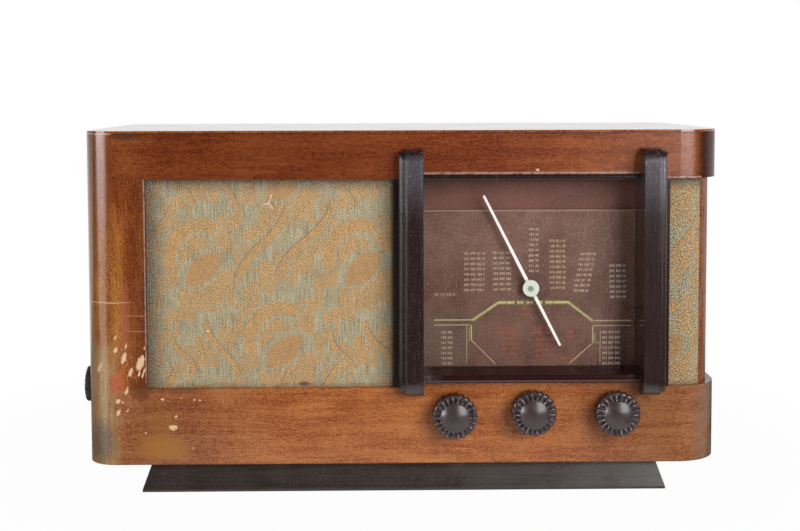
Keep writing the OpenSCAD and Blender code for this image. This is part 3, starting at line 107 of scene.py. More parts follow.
class Nodes:
    """A tree of shader nodes, emptied and then built by formulas."""

    def __init__(self, tree):
        self.tree = tree
        tree.nodes.clear()

    def add(self, kind, **settings):
        node = self.tree.nodes.new(kind)
        for name, value in settings.items():
            setattr(node, name, value)
        return node

    def feed(self, socket, value):
        """Links a socket or a Num to an input, or sets the input's own value."""
        if isinstance(value, Num):
            value = value.socket
        if isinstance(value, bpy.types.NodeSocket):
            self.tree.links.new(value, socket)
        elif socket.type == "RGBA":
            socket.default_value = (*value, 1)
        else:
            socket.default_value = value

    def fed(self, node, sockets, values):
        """Feeds values to a node's inputs, which are given by name or place."""
        for socket, value in zip(sockets, values):
            self.feed(node.inputs[socket], value)
        return node

    def math(self, operation, *values):
        node = self.add("ShaderNodeMath", operation=operation)
        return Num(self, self.fed(node, range(3), values).outputs[0])

    def size(self, value):
        return self.math("ABSOLUTE", value)

    def most(self, first, *others):
        for other in others:
            first = self.math("MAXIMUM", first, other)
        return first

    def scale(self, vector, factor):
        node = self.add("ShaderNodeVectorMath", operation="SCALE")
        return self.fed(node, (0, "Scale"), (vector, factor)).outputs[0]

    def tint(self, color, factors):
        """The colour with each channel multiplied."""
        node = self.add("ShaderNodeVectorMath", operation="MULTIPLY")
        return self.fed(node, (0, 1), (color, factors)).outputs[0]

    def point(self, x, y, z):
        return self.fed(self.add("ShaderNodeCombineXYZ"), range(3), (x, y, z)).outputs[0]

    def noise(self, x, y, z, detail=2, rough=0.5):
        node = self.add("ShaderNodeTexNoise")
        values = (self.point(x, y, z), 1, detail, rough)
        self.fed(node, ("Vector", "Scale", "Detail", "Roughness"), values)
        return Num(self, node.outputs[0])

    def step(self, value, low, high):
        """0 below low, 1 above high and a soft rise between them; low may be above high."""
        node = self.add("ShaderNodeMapRange", interpolation_type="SMOOTHSTEP")
        self.fed(node, ("Value", "From Min", "From Max"), (value, low, high))
        return Num(self, node.outputs[0])

    def mix(self, share, first, second):
        node = self.add("ShaderNodeMix", data_type="RGBA")
        return self.fed(node, (0, 6, 7), (share, first, second)).outputs[2]

    def torn(self, u, v, amount, fine_u, fine_v, seed):
        """The places u and v shifted by noise, which makes the rims of spots ragged."""
        shift_u = self.noise(u * fine_u, v * fine_v, seed, 4, 0.65) - 0.5
        shift_v = self.noise(u * fine_u, v * fine_v, seed + 9, 4, 0.65) - 0.5
        ragged_u = self.math("MULTIPLY_ADD", shift_u, amount, u)
        return ragged_u, self.math("MULTIPLY_ADD", shift_v, amount * fine_u / fine_v, v)

    def spot(self, u, v, at, half, soft=0.45, share=1):
        """As much as share inside an oval on the plane of u and v, with a soft rim."""
        du = self.math("MULTIPLY_ADD", u, 1 / half[0], -at[0] / half[0])
        dv = self.math("MULTIPLY_ADD", v, 1 / half[1], -at[1] / half[1])
        far = self.math("MULTIPLY_ADD", du, du, dv * dv)
        inside = self.step(far, (1 + soft) ** 2, (1 - soft) ** 2)
        inside.socket.node.inputs["To Max"].default_value = share
        return inside


class Graph(Nodes):
    """One material's shader and its colour so far. Places are in millimetres, in the object's
    own frame."""

    def __init__(self, name):
        self.material = bpy.data.materials.new(name)
        self.material.use_nodes = True
        super().__init__(self.material.node_tree)
        self.shader = self.add("ShaderNodeBsdfPrincipled")
        out = self.add("ShaderNodeOutputMaterial")
        self.tree.links.new(self.shader.outputs[0], out.inputs["Surface"])
        place = self.add("ShaderNodeTexCoord").outputs["Object"]
        parts = self.add("ShaderNodeSeparateXYZ")
        self.feed(parts.inputs[0], self.scale(place, 1 / MM))
        self.x, self.y, self.z = (Num(self, socket) for socket in parts.outputs)

    def blotch(self, period, seed=0, detail=2, rough=0.5):
        """Even noise whose blotches are about period millimetres across."""
        k = 1 / period
        return self.noise(self.x * k + seed, self.y * k, self.z * k, detail, rough)

    def coat(self, share, color):
        self.color = self.mix(share, self.color, color)

    def surface(self, roughness, height=None, bevel=None, **constants):
        """Sets the shader: height is a relief in millimetres, bevel an edge radius."""
        self.fed(self.shader, ("Base Color", "Roughness"), (self.color, roughness))
        normal = None
        if bevel:
            node = self.add("ShaderNodeBevel", samples=3)
            node.inputs["Radius"].default_value = bevel * MM
            normal = node.outputs[0]
        if height is not None:
            node = self.add("ShaderNodeBump")
            self.fed(node, ("Strength", "Distance", "Height"), (1, MM, height))
            if normal:
                self.feed(node.inputs["Normal"], normal)
            normal = node.outputs[0]
        if normal:
            self.feed(self.shader.inputs["Normal"], normal)
        for name, value in constants.items():
            self.shader.inputs[name.replace("_", " ")].default_value = value
        return self.material


# The cabinet's places, in millimetres, from the frame
def millimetres(node):
    low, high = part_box(node)
    return low / MM, high / MM


BAND_LOW, BAND_HIGH = millimetres("top_band")
RAIL_LOW, RAIL_HIGH = millimetres("bottom_band")
CLOTH_LOW, CLOTH_HIGH = millimetres("speaker_cloth")
CORNER_LOW, CORNER_HIGH = millimetres("corner_cloth")
PLATE_LOW, PLATE_HIGH = millimetres("scale_plate")
SILL_LOW, SILL_HIGH = millimetres("dial_sill")
STILE_LOW, STILE_HIGH = millimetres("left_stile")
DIAL_RAIL_TOP = millimetres("dial_top_rail")[1].z
CLOTH_TUCK = 5
REAR = millimetres("wood_screws")[1].y
# The shaft of the pointer and the drum, as x and z
SHAFT = (113, 177.8)


# Veneer's colours: factors of its darkest and palest fibres, then tones by place
DEEP = (0.57, 0.33, 0.18)
BRIGHT = (1.43, 1.82, 2.05)
RED_CORNER = (0.185, 0.041, 0.008)
RED_TOP = (0.148, 0.027, 0.0042)
RED_MIDDLE = (0.175, 0.031, 0.0045)
RED_RIGHT = (0.215, 0.046, 0.0075)
# Painted shade: the far part of the round right corner is darkened where little light falls
RED_END_PAINTED_SHADE = (0.036, 0.0085, 0.0028)
RAIL_LEFT = (0.27, 0.084, 0.026)
RAIL_MIDDLE = (0.35, 0.1, 0.023)
RAIL_RIGHT = (0.245, 0.078, 0.022)
# Painted shade: the bottom band's far corner end is darkened where little light falls
RAIL_END_PAINTED_SHADE = (0.095, 0.05, 0.026)
STILE_UPPER = (0.235, 0.055, 0.01)
STILE_AMBER = (0.345, 0.118, 0.019)
STILE_DARK = (0.14, 0.033, 0.008)
POST_DARK = (0.19, 0.055, 0.02)


# How it lies: along and across the grain and into the wood, in millimetres
def lies_flat(g):
    return g.x + g.y, g.z, g.y


def lies_upright(g):
    return g.z, g.x - g.y, g.x + g.y


def lies_on_top(g):
    return g.x, g.y, g.z


def veneer(name, lie, tone, seed, wear_and_light=None, rough=0.2, coat=0.18):
    """Glossy figured veneer; tone gives its local colour. The marks function changes the colour at
    marked places, as wear and as painted light and shade, and gives what it adds to the roughness."""
    g = Graph(name)
    a, c, d = lie(g)
    c = c + g.noise(a * 0.01, c * 0.02, seed, 2) * 9
    figure = g.noise(a * 0.01, c * 0.1, d * 0.05 + seed, 3, 0.6)
    stripe = g.noise(a * 0.022, c * 0.5, d * 0.1 + seed, 3, 0.7)
    grain = g.noise(a * 0.2, c * 1, d * 0.2 + seed, 2, 0.7)
    speck = g.noise(a * 0.75, c * 1.15, d * 0.5 + seed, 1)
    pore = g.step(g.noise(a * 0.16, c * 1.7, d * 0.3 + seed, 1), 0.6, 0.74)
    blotch = g.blotch(38, seed, 3, 0.55)
    light = (figure - 0.5) * 1.3 + (stripe - 0.5) * 1 + (grain - 0.5) * 1.7
    light = light + (speck - 0.5) * 1.9 + (blotch - 0.5) * 0.7 - pore * 0.35 + 0.53
    g.color = g.mix(g.step(light, -0.15, 1.15), g.tint(tone(g), DEEP), g.tint(tone(g), BRIGHT))
    gloss = (blotch - 0.4) * 0.16 + pore * 0.12 + rough
    height = (grain - 0.5) * 0.012 - pore * 0.01 + (g.blotch(9, seed) - 0.5) * 0.02
    if wear_and_light:
        gloss = gloss + wear_and_light(g)
    return g.surface(
        gloss, height, bevel=0.5, Coat_Weight=coat, Coat_Roughness=0.12, Specular_IOR_Level=0.42
    )


def corner_end(g, low, high):
    """1 on the far part of the round right corner, and 0 on the side behind it. It marks where
    painted shade and a painted grey reflection lie.
    """
    return g.step(g.x, low, high) * g.step(g.y, -76, -94)


def top_tone(g):
    left = g.mix(g.step(g.x, -205, -245), RED_TOP, RED_CORNER)
    middle = g.mix(g.step(g.x, -120, 60), left, RED_MIDDLE)
    right = g.mix(g.step(g.x, 60, 200), middle, RED_RIGHT)
    # painted shade on the far part of the round right corner
    return g.mix(corner_end(g, 253, 264), right, RED_END_PAINTED_SHADE)


def rail_tone(g):
    middle = g.mix(g.step(g.x, -215, -90), RAIL_LEFT, RAIL_MIDDLE)
    right = g.mix(g.step(g.x, 90, 235), middle, RAIL_RIGHT)
    # painted shade on the far part of the round right corner
    return g.mix(corner_end(g, 268, 277), right, RAIL_END_PAINTED_SHADE)


def stile_tone(g):
    """Amber and faded low at the left end, dark beside the cloth."""
    amber = g.step(g.z + (g.blotch(22, 3) - 0.5) * 60, 270, 170)
    amber = amber * g.step(g.x, -236, -252)
    upper = g.mix(g.step(g.z, 235, 285), STILE_UPPER, RED_CORNER)
    tone = g.mix(amber * 0.85, upper, STILE_AMBER)
    dark = g.step(g.x + (g.blotch(14, 6) - 0.5) * 10, -245, -232) * g.step(g.z, 90, 115)
    return g.mix(dark * 0.75, tone, STILE_DARK)


def side_tone(g):
    """Darker on the round post at the front."""
    return g.mix(g.step(g.y, -70, -82), STILE_UPPER, POST_DARK)


def plain_tone(g):
    return STILE_UPPER


# Wear on the front, in millimetres: x and z, half width and height, and how bare the wood is.
# Chips lean, by so much of their height
CHIP_LEAN = 0.3
CHIPS = [
    ((-231.2, 115.9), (2.9, 5.6), 1),
    ((-232.4, 107), (0.7, 3.2), 0.95),
    ((-228.6, 107), (0.8, 4.4), 0.95),
    ((-240.1, 107.4), (1.6, 3.6), 0.9),
    ((-245.8, 120.1), (1.9, 4.8), 0.9),
    ((-243.8, 130.5), (0.8, 2.4), 0.85),
    ((-252.9, 127), (1.6, 2.2), 0.9),
    ((-253.2, 137.9), (0.9, 2), 0.8),
    ((-227.4, 129.3), (0.7, 1.1), 0.9),
    ((-243.8, 90.6), (1.2, 3.4), 0.85),
    ((-267.9, 111), (1.8, 4.6), 0.7),
    ((-251.2, 81.6), (1.9, 2.1), 0.9),
    ((-247, 80.4), (0.9, 1), 0.8),
    ((-251, 71.4), (2, 2.1), 0.75),
    ((-243.4, 73.4), (1.2, 1.2), 0.7),
    ((-203.3, 58.1), (3.6, 1.5), 1),
    ((-200.5, 68), (1, 0.8), 0.9),
    ((-212.7, 83), (1.3, 0.8), 0.85),
    ((-196, 83.9), (1, 0.7), 0.8),
    ((-184.7, 82.9), (0.9, 0.8), 0.9),
    ((-179.4, 82.5), (1, 0.7), 0.9),
    ((-159.2, 80.7), (0.9, 0.7), 0.7),
    ((-227.5, 53.5), (0.9, 0.9), 0.9),
    ((-186, 40), (1.2, 0.7), 0.7),
    ((117.1, 284.6), (1.3, 0.9), 0.8),
]
SCRATCHES = [
    ((-262, 169), (19, 0.5), 0.6),
    ((-235, 157.2), (10, 0.4), 0.22),
    ((-234, 143.6), (9, 0.4), 0.2),
]
BARE_WOOD = (0.84, 0.58, 0.36)
# Stains have a colour before their share
STAINS = [
    ((-244.5, 152), (3.4, 25), (0.36, 0.105, 0.06), 0.6),
    ((-248.5, 118), (3.6, 13), (0.33, 0.095, 0.045), 0.45),
    ((-252, 97.5), (5.4, 7.8), (0.47, 0.095, 0.045), 0.75),
    ((-266, 46), (8.5, 15), (0.085, 0.062, 0.052), 0.75),
    ((-211, 39.5), (17, 9), (0.37, 0.15, 0.026), 0.8),
    ((-213, 62), (9, 9), (0.36, 0.15, 0.035), 0.45),
    ((-231, 92), (7, 8), (0.1, 0.026, 0.009), 0.7),
    ((-205, 93), (26, 4), (0.17, 0.045, 0.014), 0.6),
]
OLIVE_WOOD = (0.37, 0.275, 0.13)
BLOOM = (0.42, 0.34, 0.28)


def front_wear_and_painted_light(g):
    """Faded finish, stains, chips and scratches at the cabinet's left end, and a painted highlight
    along the top edge of the round left corner.
    """
    u, v = g.x, g.z
    front = g.step(g.y, -96, -112)
    streak = g.noise(u * 0.9, v * 0.07, 2.4, 3, 0.7)
    faded = g.step(u + (g.blotch(16, 2, 3) - 0.5) * 12, -246, -258)
    faded = faded * g.step(v + (g.blotch(30, 8) - 0.5) * 40, 142, 112)
    near = g.step(g.y + (g.blotch(25, 5, 3) - 0.5) * 16, -86, -106)
    faded = faded * near
    g.coat(faded * g.step(streak, 0.3, 0.62) * 0.75, OLIVE_WOOD)
    bloom = g.step(u, -274.5, -279.5) * g.step(v, 165, 125) * g.step(v, 24, 40)
    g.coat(bloom * near * 0.5, BLOOM)
    # painted highlight: a pale line along the top edge of the round left corner
    pale_edge_highlight = g.step(v, BAND_HIGH.z - 1.2, BAND_HIGH.z - 0.6) * g.step(u, -253, -256) * near
    g.coat(pale_edge_highlight * 0.7, (0.62, 0.52, 0.44))
    wide_u, wide_v = g.torn(u, v, 9, 0.16, 0.12, 3)
    for at, half, stain, share in STAINS:
        mask = g.spot(wide_u, wide_v, at, half, soft=0.75, share=share)
        g.coat(mask * front, stain)
    torn_u, torn_v = g.torn(u, v, 3.6, 0.55, 0.28, 5)
    leaning = g.math("MULTIPLY_ADD", torn_v, -CHIP_LEAN, torn_u)
    flecks = g.step(g.noise(u * 0.55, v * 0.45, 5.1, 2, 0.7), 0.63, 0.7)
    chips = 0
    for (x, z), half, share in CHIPS:
        at = (x - CHIP_LEAN * z, z)
        chips = g.most(g.spot(leaning, torn_v, at, half, soft=0.55, share=share), chips)
    ragged = g.noise(u * 1.5, v * 0.6, 6.3, 3, 0.7)
    bare = g.step(chips + (ragged - 0.5) * 1.7, 0.5, 0.6)
    flecks = flecks * g.spot(wide_u, wide_v, (-254, 92), (17, 58), soft=0.35, share=0.75)
    bare = g.most(bare, flecks)
    bend = g.math("MULTIPLY_ADD", g.noise(u * 0.06, 2, 1, 2), 2.6, v - 1.3)
    for at, half, share in SCRATCHES:
        bare = g.most(bare, g.spot(u, bend, at, half, soft=0.5, share=share))
    bare = bare * front
    g.coat(bare, g.mix(streak, BARE_WOOD, (0.66, 0.38, 0.2)))
    return faded * 0.18 + bare * 0.35


def line_at(g, value, at, half):
    """A thin line where value passes at."""
    return g.step(g.size(value - at), half, half * 0.4)


def worn_and_highlit_line(g, value, at, half, low, high):
    """A thin pale line between low and high along x: partly rubbed finish, partly painted highlight.
    """
    patchy = g.step(g.noise(g.x * 0.22, g.z * 0.22, 4, 3, 0.7), 0.32, 0.56)
    within = g.step(g.x, low, low + 1) * g.step(g.x, high, high - 1)
    return line_at(g, value, at, half) * within * patchy


def top_band_wear_and_painted_light(g):
    """Painted shade as a dark line under the top edge, pale lines over the dial that are partly rubbed
    and partly painted highlight, and nicks along the top.
    """
    # painted shade: a dark line along the top edge; the nicks use the same band
    edge = g.step(g.z, BAND_HIGH.z - 1.2, BAND_HIGH.z - 0.4)
    g.coat(edge * 0.75, (0.028, 0.014, 0.01))
    smudge = g.spot(g.x, g.z, (-241, 315), (11, 3.5), soft=0.6)
    g.coat(smudge * 0.7, (0.045, 0.018, 0.009))
    nick = g.step(g.noise(g.x * 0.16, g.z * 0.5, g.y * 0.2, 3, 0.7), 0.66, 0.71)
    g.coat(nick * edge * 0.8, BARE_WOOD)
    # pale lines over the dial and under the band's lower edge: partly rubbed, partly painted highlight
    rubbed_and_highlit = g.most(
        worn_and_highlit_line(g, g.z, DIAL_RAIL_TOP + 0.9, 1.5, 17, 206),
        worn_and_highlit_line(g, g.z, BAND_LOW.z + 0.7, 1, 230, 262),
    )
    g.coat(rubbed_and_highlit * 0.7, (0.44, 0.29, 0.25))
    return front_wear_and_painted_light(g)


def bottom_band_wear_and_painted_light(g):
    """Pale edges under the cloth and at the round corner, partly rubbed and partly painted highlight,
    and a painted grey reflection on the corner's far part.
    """
    # pale line under the cloth: partly rubbed finish, partly painted highlight
    pale_edge_highlight = worn_and_highlit_line(g, g.z, RAIL_HIGH.z - 0.5, 1.2, CLOTH_LOW.x + 4, CLOTH_HIGH.x)
    g.coat(pale_edge_highlight * 0.85, (0.66, 0.46, 0.38))
    # pale line on the round corner's top edge: partly rubbed, partly a painted glint
    corner = worn_and_highlit_line(g, g.z, RAIL_HIGH.z - 0.4, 0.8, 232, 290)
    g.coat(corner * 0.6, (0.5, 0.4, 0.34))
    # painted reflection: blotchy grey on the far part of the round corner
    grey = corner_end(g, 246, 272) * g.step(g.blotch(17, 4, 3), 0.3, 0.6)
    g.coat(grey * 0.55, (0.2, 0.155, 0.125))
    foot = g.step(g.z, RAIL_LOW.z + 1.3, RAIL_LOW.z + 0.3)
    g.coat(foot * 0.5, (0.05, 0.02, 0.01))
    return front_wear_and_painted_light(g)


def stile_wear_and_painted_light(g):
    """A pale line along the cloth's edge, partly rubbed and partly painted highlight, and painted
    shade on the side of the opening.
    """
    front = g.step(g.y, STILE_LOW.y + 1, STILE_LOW.y + 0.5)
    # pale line at the opening's edge: partly rubbed finish, partly painted highlight
    edge = line_at(g, g.x, STILE_HIGH.x - 0.6, 0.9) * front
    patchy = g.step(g.noise(g.z * 0.12, 3, 1, 3, 0.7), 0.3, 0.55)
    g.coat(edge * patchy * 0.7, (0.44, 0.27, 0.21))
    # painted shade on the side face of the opening
    inside = g.step(g.x, STILE_HIGH.x - 0.5, STILE_HIGH.x - 0.1) * (1 - front)
    g.coat(inside * 0.85, (0.03, 0.018, 0.013))
    return front_wear_and_painted_light(g) + inside * 0.4


# Lacquers and boards
def dark_lacquer(name, bevel, dust_and_sheen=False):
    """Near black lacquer over red wood; fine dust and orange peel break up its gloss. For the bars,
    the dust thickens towards the top and a bluish painted sheen lies on the top ends.
    """
    g = Graph(name)
    grain = g.noise(g.x * 0.45, g.y * 0.45, g.z * 0.03, 3, 0.65)
    peel = g.blotch(1.3, 2, 1)
    speck = g.step(g.blotch(0.95, 4, 1), 0.62, 0.74)
    bare = g.step(grain, 0.54, 0.68) * g.step(g.blotch(30, 7), 0.44, 0.6)
    g.color = g.mix(g.step(grain, 0.3, 0.7), (0.014, 0.0055, 0.005), (0.024, 0.01, 0.0085))
    g.coat(bare * 0.3, (0.11, 0.045, 0.02))
    if dust_and_sheen:
        # dust and painted sheen: specks thicken towards the bars' tops, and a bluish painted sheen
        # lies on their top ends
        upper = g.step(g.z, 235, 290)
        left = g.step(g.x, 110, 90)
        g.coat(speck * (upper * 0.55 + left * 0.12 + 0.1), (0.36, 0.32, 0.28))
        g.coat(upper * g.step(g.z, 300, 292) * 0.2, (0.26, 0.26, 0.33))
    else:
        g.coat(speck * 0.13, (0.34, 0.3, 0.27))
    rough = 0.17 + (g.blotch(26, 2, 4, 0.6) - 0.45) * 0.14
    height = (peel - 0.5) * 0.022 + (grain - 0.5) * 0.006
    return g.surface(rough, height, bevel=bevel, Coat_Weight=0.35, Coat_Roughness=0.1)


def plinth_lacquer():
    g = Graph("plinth_lacquer")
    grain = g.noise(g.x * 0.02, g.y * 0.5, g.z * 0.6, 3, 0.65)
    speck = g.step(g.blotch(1, 4, 2, 0.6), 0.54, 0.7)
    grey = g.step(g.blotch(45, 2, 3), 0.35, 0.65)
    chip = g.step(g.blotch(7, 9, 4, 0.7), 0.66, 0.72) * g.step(g.z, 5.5, 1.5)
    g.color = g.mix(g.step(grain, 0.3, 0.72), (0.013, 0.008, 0.007), (0.038, 0.024, 0.018))
    g.coat(speck * (grey * 0.16 + 0.07), (0.32, 0.27, 0.24))
    g.coat(chip * 0.6, (0.2, 0.13, 0.09))
    rough = 0.32 + (g.blotch(30, 3) - 0.5) * 0.3
    height = (grain - 0.5) * 0.05 - chip * 0.1 + speck * 0.01
    return g.surface(rough, height, bevel=0.6, Coat_Weight=0.1, Coat_Roughness=0.2)


def sill_lacquer():
    """Deep red gloss with dust at both ends, and a painted highlight along the front edge."""
    g = Graph("sill_lacquer")
    left_end = g.step(g.x, SILL_LOW.x + 20, SILL_LOW.x)
    right_end = g.step(g.x, SILL_HIGH.x - 14, SILL_HIGH.x)
    back = g.step(g.y, SILL_HIGH.y - 5, SILL_HIGH.y) * 0.15
    grit = g.step(g.blotch(1.2, 6, 3, 0.6), 0.5, 0.64)
    dust = g.most(left_end, right_end, back) * g.step(g.blotch(8, 3, 3), 0.34, 0.62)
    dust = dust * (grit * 0.8 + 0.2)
    g.color = g.mix(g.blotch(18, 1), (0.017, 0.0035, 0.0035), (0.034, 0.0065, 0.0055))
    g.coat(dust * 0.55, (0.36, 0.31, 0.26))
    # painted highlight along the sill's front edge
    pale_edge_highlight = g.step(g.y, SILL_LOW.y + 1.6, SILL_LOW.y + 0.5) * line_at(g, g.z, SILL_LOW.z + 1.4, 1)
    g.coat(pale_edge_highlight * 0.15, (0.4, 0.36, 0.37))
    rough = 0.26 + dust * 0.4 + (g.blotch(20, 2) - 0.5) * 0.08
    return g.surface(rough, dust * 0.05, bevel=0.6, Specular_IOR_Level=0.15)


def board(name, dark, light, rough=0.75, period=1.1):
    """Pressed or sawn board with a fine felt of fibres."""
    g = Graph(name)
    felt = g.blotch(period, 1, 4, 0.7)
    patch = g.blotch(45, 5, 3)
    g.color = g.mix(g.step(felt * 0.6 + patch * 0.4, 0.3, 0.7), dark, light)
    return g.surface(rough + (patch - 0.5) * 0.15, (felt - 0.5) * 0.12, bevel=0.4)


def plywood():
    g = Graph("plywood")
    fibre = g.noise(g.x * 0.02, g.y * 0.8, g.z * 0.8, 4, 0.65)
    figure = g.noise(g.x * 0.008, g.y * 0.06, g.z * 0.06, 3)
    g.color = g.mix(g.step(fibre * 0.6 + figure * 0.4, 0.3, 0.7), (0.3, 0.19, 0.1), (0.52, 0.37, 0.22))
    return g.surface(0.7 + (fibre - 0.5) * 0.2, (fibre - 0.5) * 0.12, bevel=0.4)


# Metals, plastics and the rest. The front knobs' ribs end on the plane at RIB_FACE_Y
DOME_RISE = 3.7
RIB_FACE_Y = millimetres("tuning_knob")[0].y + DOME_RISE + 0.2


def metal(name, color, rough, brush=0, stain=0.15, dark=0.55, metallic=1):
    """Sheet or turned metal with faint brushing and dull stains."""
    g = Graph(name)
    patch = g.blotch(14, 3, 4, 0.6)
    line = g.noise(g.x * 0.12, g.y * 2.5, g.z * 2.5, 2, 0.6)
    dull = g.step(patch, 0.42, 0.72) * stain
    g.color = g.mix(dull, color, tuple(dark * c for c in color))
    rough = rough + (patch - 0.5) * 0.2 + (line - 0.5) * 0.15 * brush
    relief = (line - 0.5) * 0.01 * brush + (patch - 0.5) * 0.01
    return g.surface(rough, relief, bevel=0.25, Metallic=metallic)


def moulded(name, dark, light, rough, coat=0.4, ribs=False):
    """Moulded resin or rubber with a faint mottle and dust; ribs pales the front knobs' rib tops,
    partly as wear and partly as a painted highlight.
    """
    g = Graph(name)
    mottle = g.blotch(4.5, 2, 4, 0.65)
    dust = g.step(g.blotch(0.9, 5, 2), 0.62, 0.74)
    g.color = g.mix(g.step(mottle, 0.3, 0.7), dark, light)
    g.coat(dust * 0.14, (0.32, 0.28, 0.27))
    if ribs:
        # rib tops paled, partly as wear and partly as a painted highlight
        rubbed_and_highlit = g.step(g.size(g.y - RIB_FACE_Y), 0.3, 0.12)
        rubbed_and_highlit = rubbed_and_highlit * g.step(g.blotch(2.6, 9, 2), 0.44, 0.62)
        g.coat(rubbed_and_highlit * 0.55, (0.55, 0.44, 0.44))
    rough = rough + (mottle - 0.5) * 0.2 + dust * 0.15
    relief = (mottle - 0.5) * 0.02
    return g.surface(rough, relief, bevel=0.3, Coat_Weight=coat, Coat_Roughness=0.12)


def pointer_enamel():
    g = Graph("pointer_enamel")
    spot = g.step(g.blotch(1.4, 2, 3, 0.6), 0.55, 0.7)
    hub = g.spot(g.x, g.z, SHAFT, (9, 9), soft=0.15)
    g.color = g.mix(hub, (0.86, 0.84, 0.79), (0.62, 0.67, 0.58))
    g.coat(spot * 0.35, (0.44, 0.44, 0.36))
    return g.surface(0.38 + spot * 0.2, spot * -0.02, bevel=0.3, Coat_Weight=0.2)


def clear_glass(name, tint, silver=None):
    """Thin clear glass; silver gives the height above which a valve's top is coated."""
    g = Graph(name)
    haze = g.blotch(8, 2, 3)
    g.color = g.mix(haze, tint, tuple(min(1, 1.06 * c) for c in tint))
    material = g.surface(0.05 + (haze - 0.4) * 0.06, IOR=1.45, Transmission_Weight=1)
    if silver:
        top = g.step(g.z + (g.blotch(6, 1) - 0.5) * 6, silver, silver + 5)
        g.feed(g.shader.inputs["Metallic"], top)
        g.feed(g.shader.inputs["Transmission Weight"], 1 - top)
    return material


def backing_paint():
    g = Graph("backing_paint")
    felt = g.blotch(1.1, 3, 3, 0.7)
    patch = g.blotch(38, 7, 3)
    g.color = g.mix(g.step(patch, 0.3, 0.7), (0.1, 0.028, 0.016), (0.155, 0.05, 0.032))
    g.coat(g.step(felt, 0.46, 0.62) * 0.22, (0.34, 0.17, 0.13))
    return g.surface(0.6 + (felt - 0.5) * 0.2, (felt - 0.5) * 0.04)


def scale_glass():
    """The old scale plate: brown and hazy with fine dust, with a painted highlight along its upper
    edge.
    """
    g = Graph("scale_glass")
    # painted highlight along the plate's upper edge, in its colour and its alpha
    top = g.step(g.z, PLATE_HIGH.z - 1.5, PLATE_HIGH.z - 0.5)
    cloud = g.blotch(30, 4, 4, 0.62)
    upper = g.step(g.z, PLATE_LOW.z + 40, PLATE_HIGH.z - 25)
    olive = g.step(g.x, 70, 40) * g.step(g.z, 170, 140)
    rub = g.noise(g.x * 0.8, g.z * 0.03, 1, 3, 0.6)
    band = g.step(g.x, 170, 180) * g.step(g.x, 194, 186) * g.step(rub, 0.45, 0.65)
    fine = g.step(g.blotch(1.25, 3, 2, 0.7), 0.42, 0.66)
    speck = g.step(g.blotch(0.95, 8, 1), 0.66, 0.74)
    crumb = g.step(g.blotch(2.4, 12, 2), 0.7, 0.76)
    haze = cloud * 0.45 + upper * 0.2 + band * 0.3
    g.color = g.mix(g.step(cloud, 0.3, 0.7), (0.125, 0.046, 0.028), (0.185, 0.08, 0.052))
    g.coat(olive * 0.45, (0.155, 0.11, 0.08))
    g.coat(haze * fine * 0.5, (0.46, 0.33, 0.27))
    g.coat(g.most(speck * 0.55, crumb * 0.35, top * 0.3), (0.58, 0.46, 0.4))
    relief = (fine - 0.5) * 0.01
    material = g.surface(0.34 + cloud * 0.2, relief, Coat_Weight=0.1, Coat_Roughness=0.15)
    g.feed(g.shader.inputs["Alpha"], g.most(haze * 0.5 + 0.62, top))
    return material


def ink(name, color, worn):
    """Printed colour, thin and rubbed in places."""
    g = Graph(name)
    rub = g.step(g.blotch(2.2, 6, 3, 0.65), 0.5, 0.66) * worn
    g.color = g.mix(rub, color, (0.2, 0.11, 0.085))
    return g.surface(0.5 + rub * 0.2, rub * -0.01)


# Cloth, in millimetres: a half-drop repeat of leaves under arches, ribbons and bars
TILE_W = 70
TILE_H = 147
SAGE_DARK = (0.215, 0.188, 0.112)
SAGE_LIGHT = (0.4, 0.36, 0.24)
GOLD_DARK = (0.34, 0.165, 0.05)
GOLD_LIGHT = (0.64, 0.365, 0.135)
LEAF_DARK = (0.27, 0.135, 0.052)
LEAF_LIGHT = (0.56, 0.315, 0.12)
RIBBON_EDGE = (0.2, 0.085, 0.035)
# the rims' dark colour, for dirt and painted shade
DIRT_AND_SHADE = (0.052, 0.046, 0.045)
THREAD = 1.75
# The first leaf's place on the front, and the arch's over it
LEAF_AT = (-177, 198.5)
LEAF_TURN = 42
ARCH_AT = (-178, 208)
ARCH_R = 28
ARCH_W = 12
# Ribbons, on every second column: place, slope in degrees, half length, bend and width
RIBBONS = [
    ((-123.5, 219.5), 56, 42, 3.5, 7),
    ((-86, 222.5), 53, 44, 3.5, 6.5),
    ((-161, 126.5), -60, 30, -3, 5.5),
    ((-195, 121.5), -57, 20, -2, 5.5),
]
BAR_W = 7
BAR_H = 24.5


def repeat(g, u, v, at, every=1):
    """Places from at within one repeat; each column hangs half a repeat lower than the last."""
    wide = TILE_W * every
    column = g.math("ROUND", (u - at[0]) / wide)
    drop = g.math("MULTIPLY_ADD", column, TILE_H / 2 * every, v - at[1])
    a = g.math("MULTIPLY_ADD", column, -wide, u - at[0])
    return a, drop - g.math("ROUND", drop / TILE_H) * TILE_H


def turned(g, place, degrees):
    """Along and across a figure turned by so many degrees."""
    c, s = math.cos(math.radians(degrees)), math.sin(math.radians(degrees))
    a, b = place
    return g.math("MULTIPLY_ADD", a, c, b * s), g.math("MULTIPLY_ADD", a, -s, b * c)


def leaf(g, u, v):
    """A pointed leaf with a full lower side, and the halo of bare ground round it."""
    p, q = turned(g, repeat(g, u, v, LEAF_AT), LEAF_TURN)
    share = p / 21
    full = (1 - share * share) * 11
    body = g.step(full - g.size(q + 1.5), -0.9, 0.9)
    return body, g.step(full - g.size(q) + 4, -1, 1)


def arch(g, u, v):
    """The broad arch that bends over a leaf, and its halo."""
    p, q = turned(g, repeat(g, u, v, ARCH_AT), LEAF_TURN)
    off = g.size(g.math("SQRT", p * p + q * q) - ARCH_R)
    over = g.step(q, 6, 11)
    body = g.step(off, ARCH_W / 2 + 1, ARCH_W / 2 - 1) * over
    return body, g.step(off, ARCH_W / 2 + 3.5, ARCH_W / 2 + 2) * over


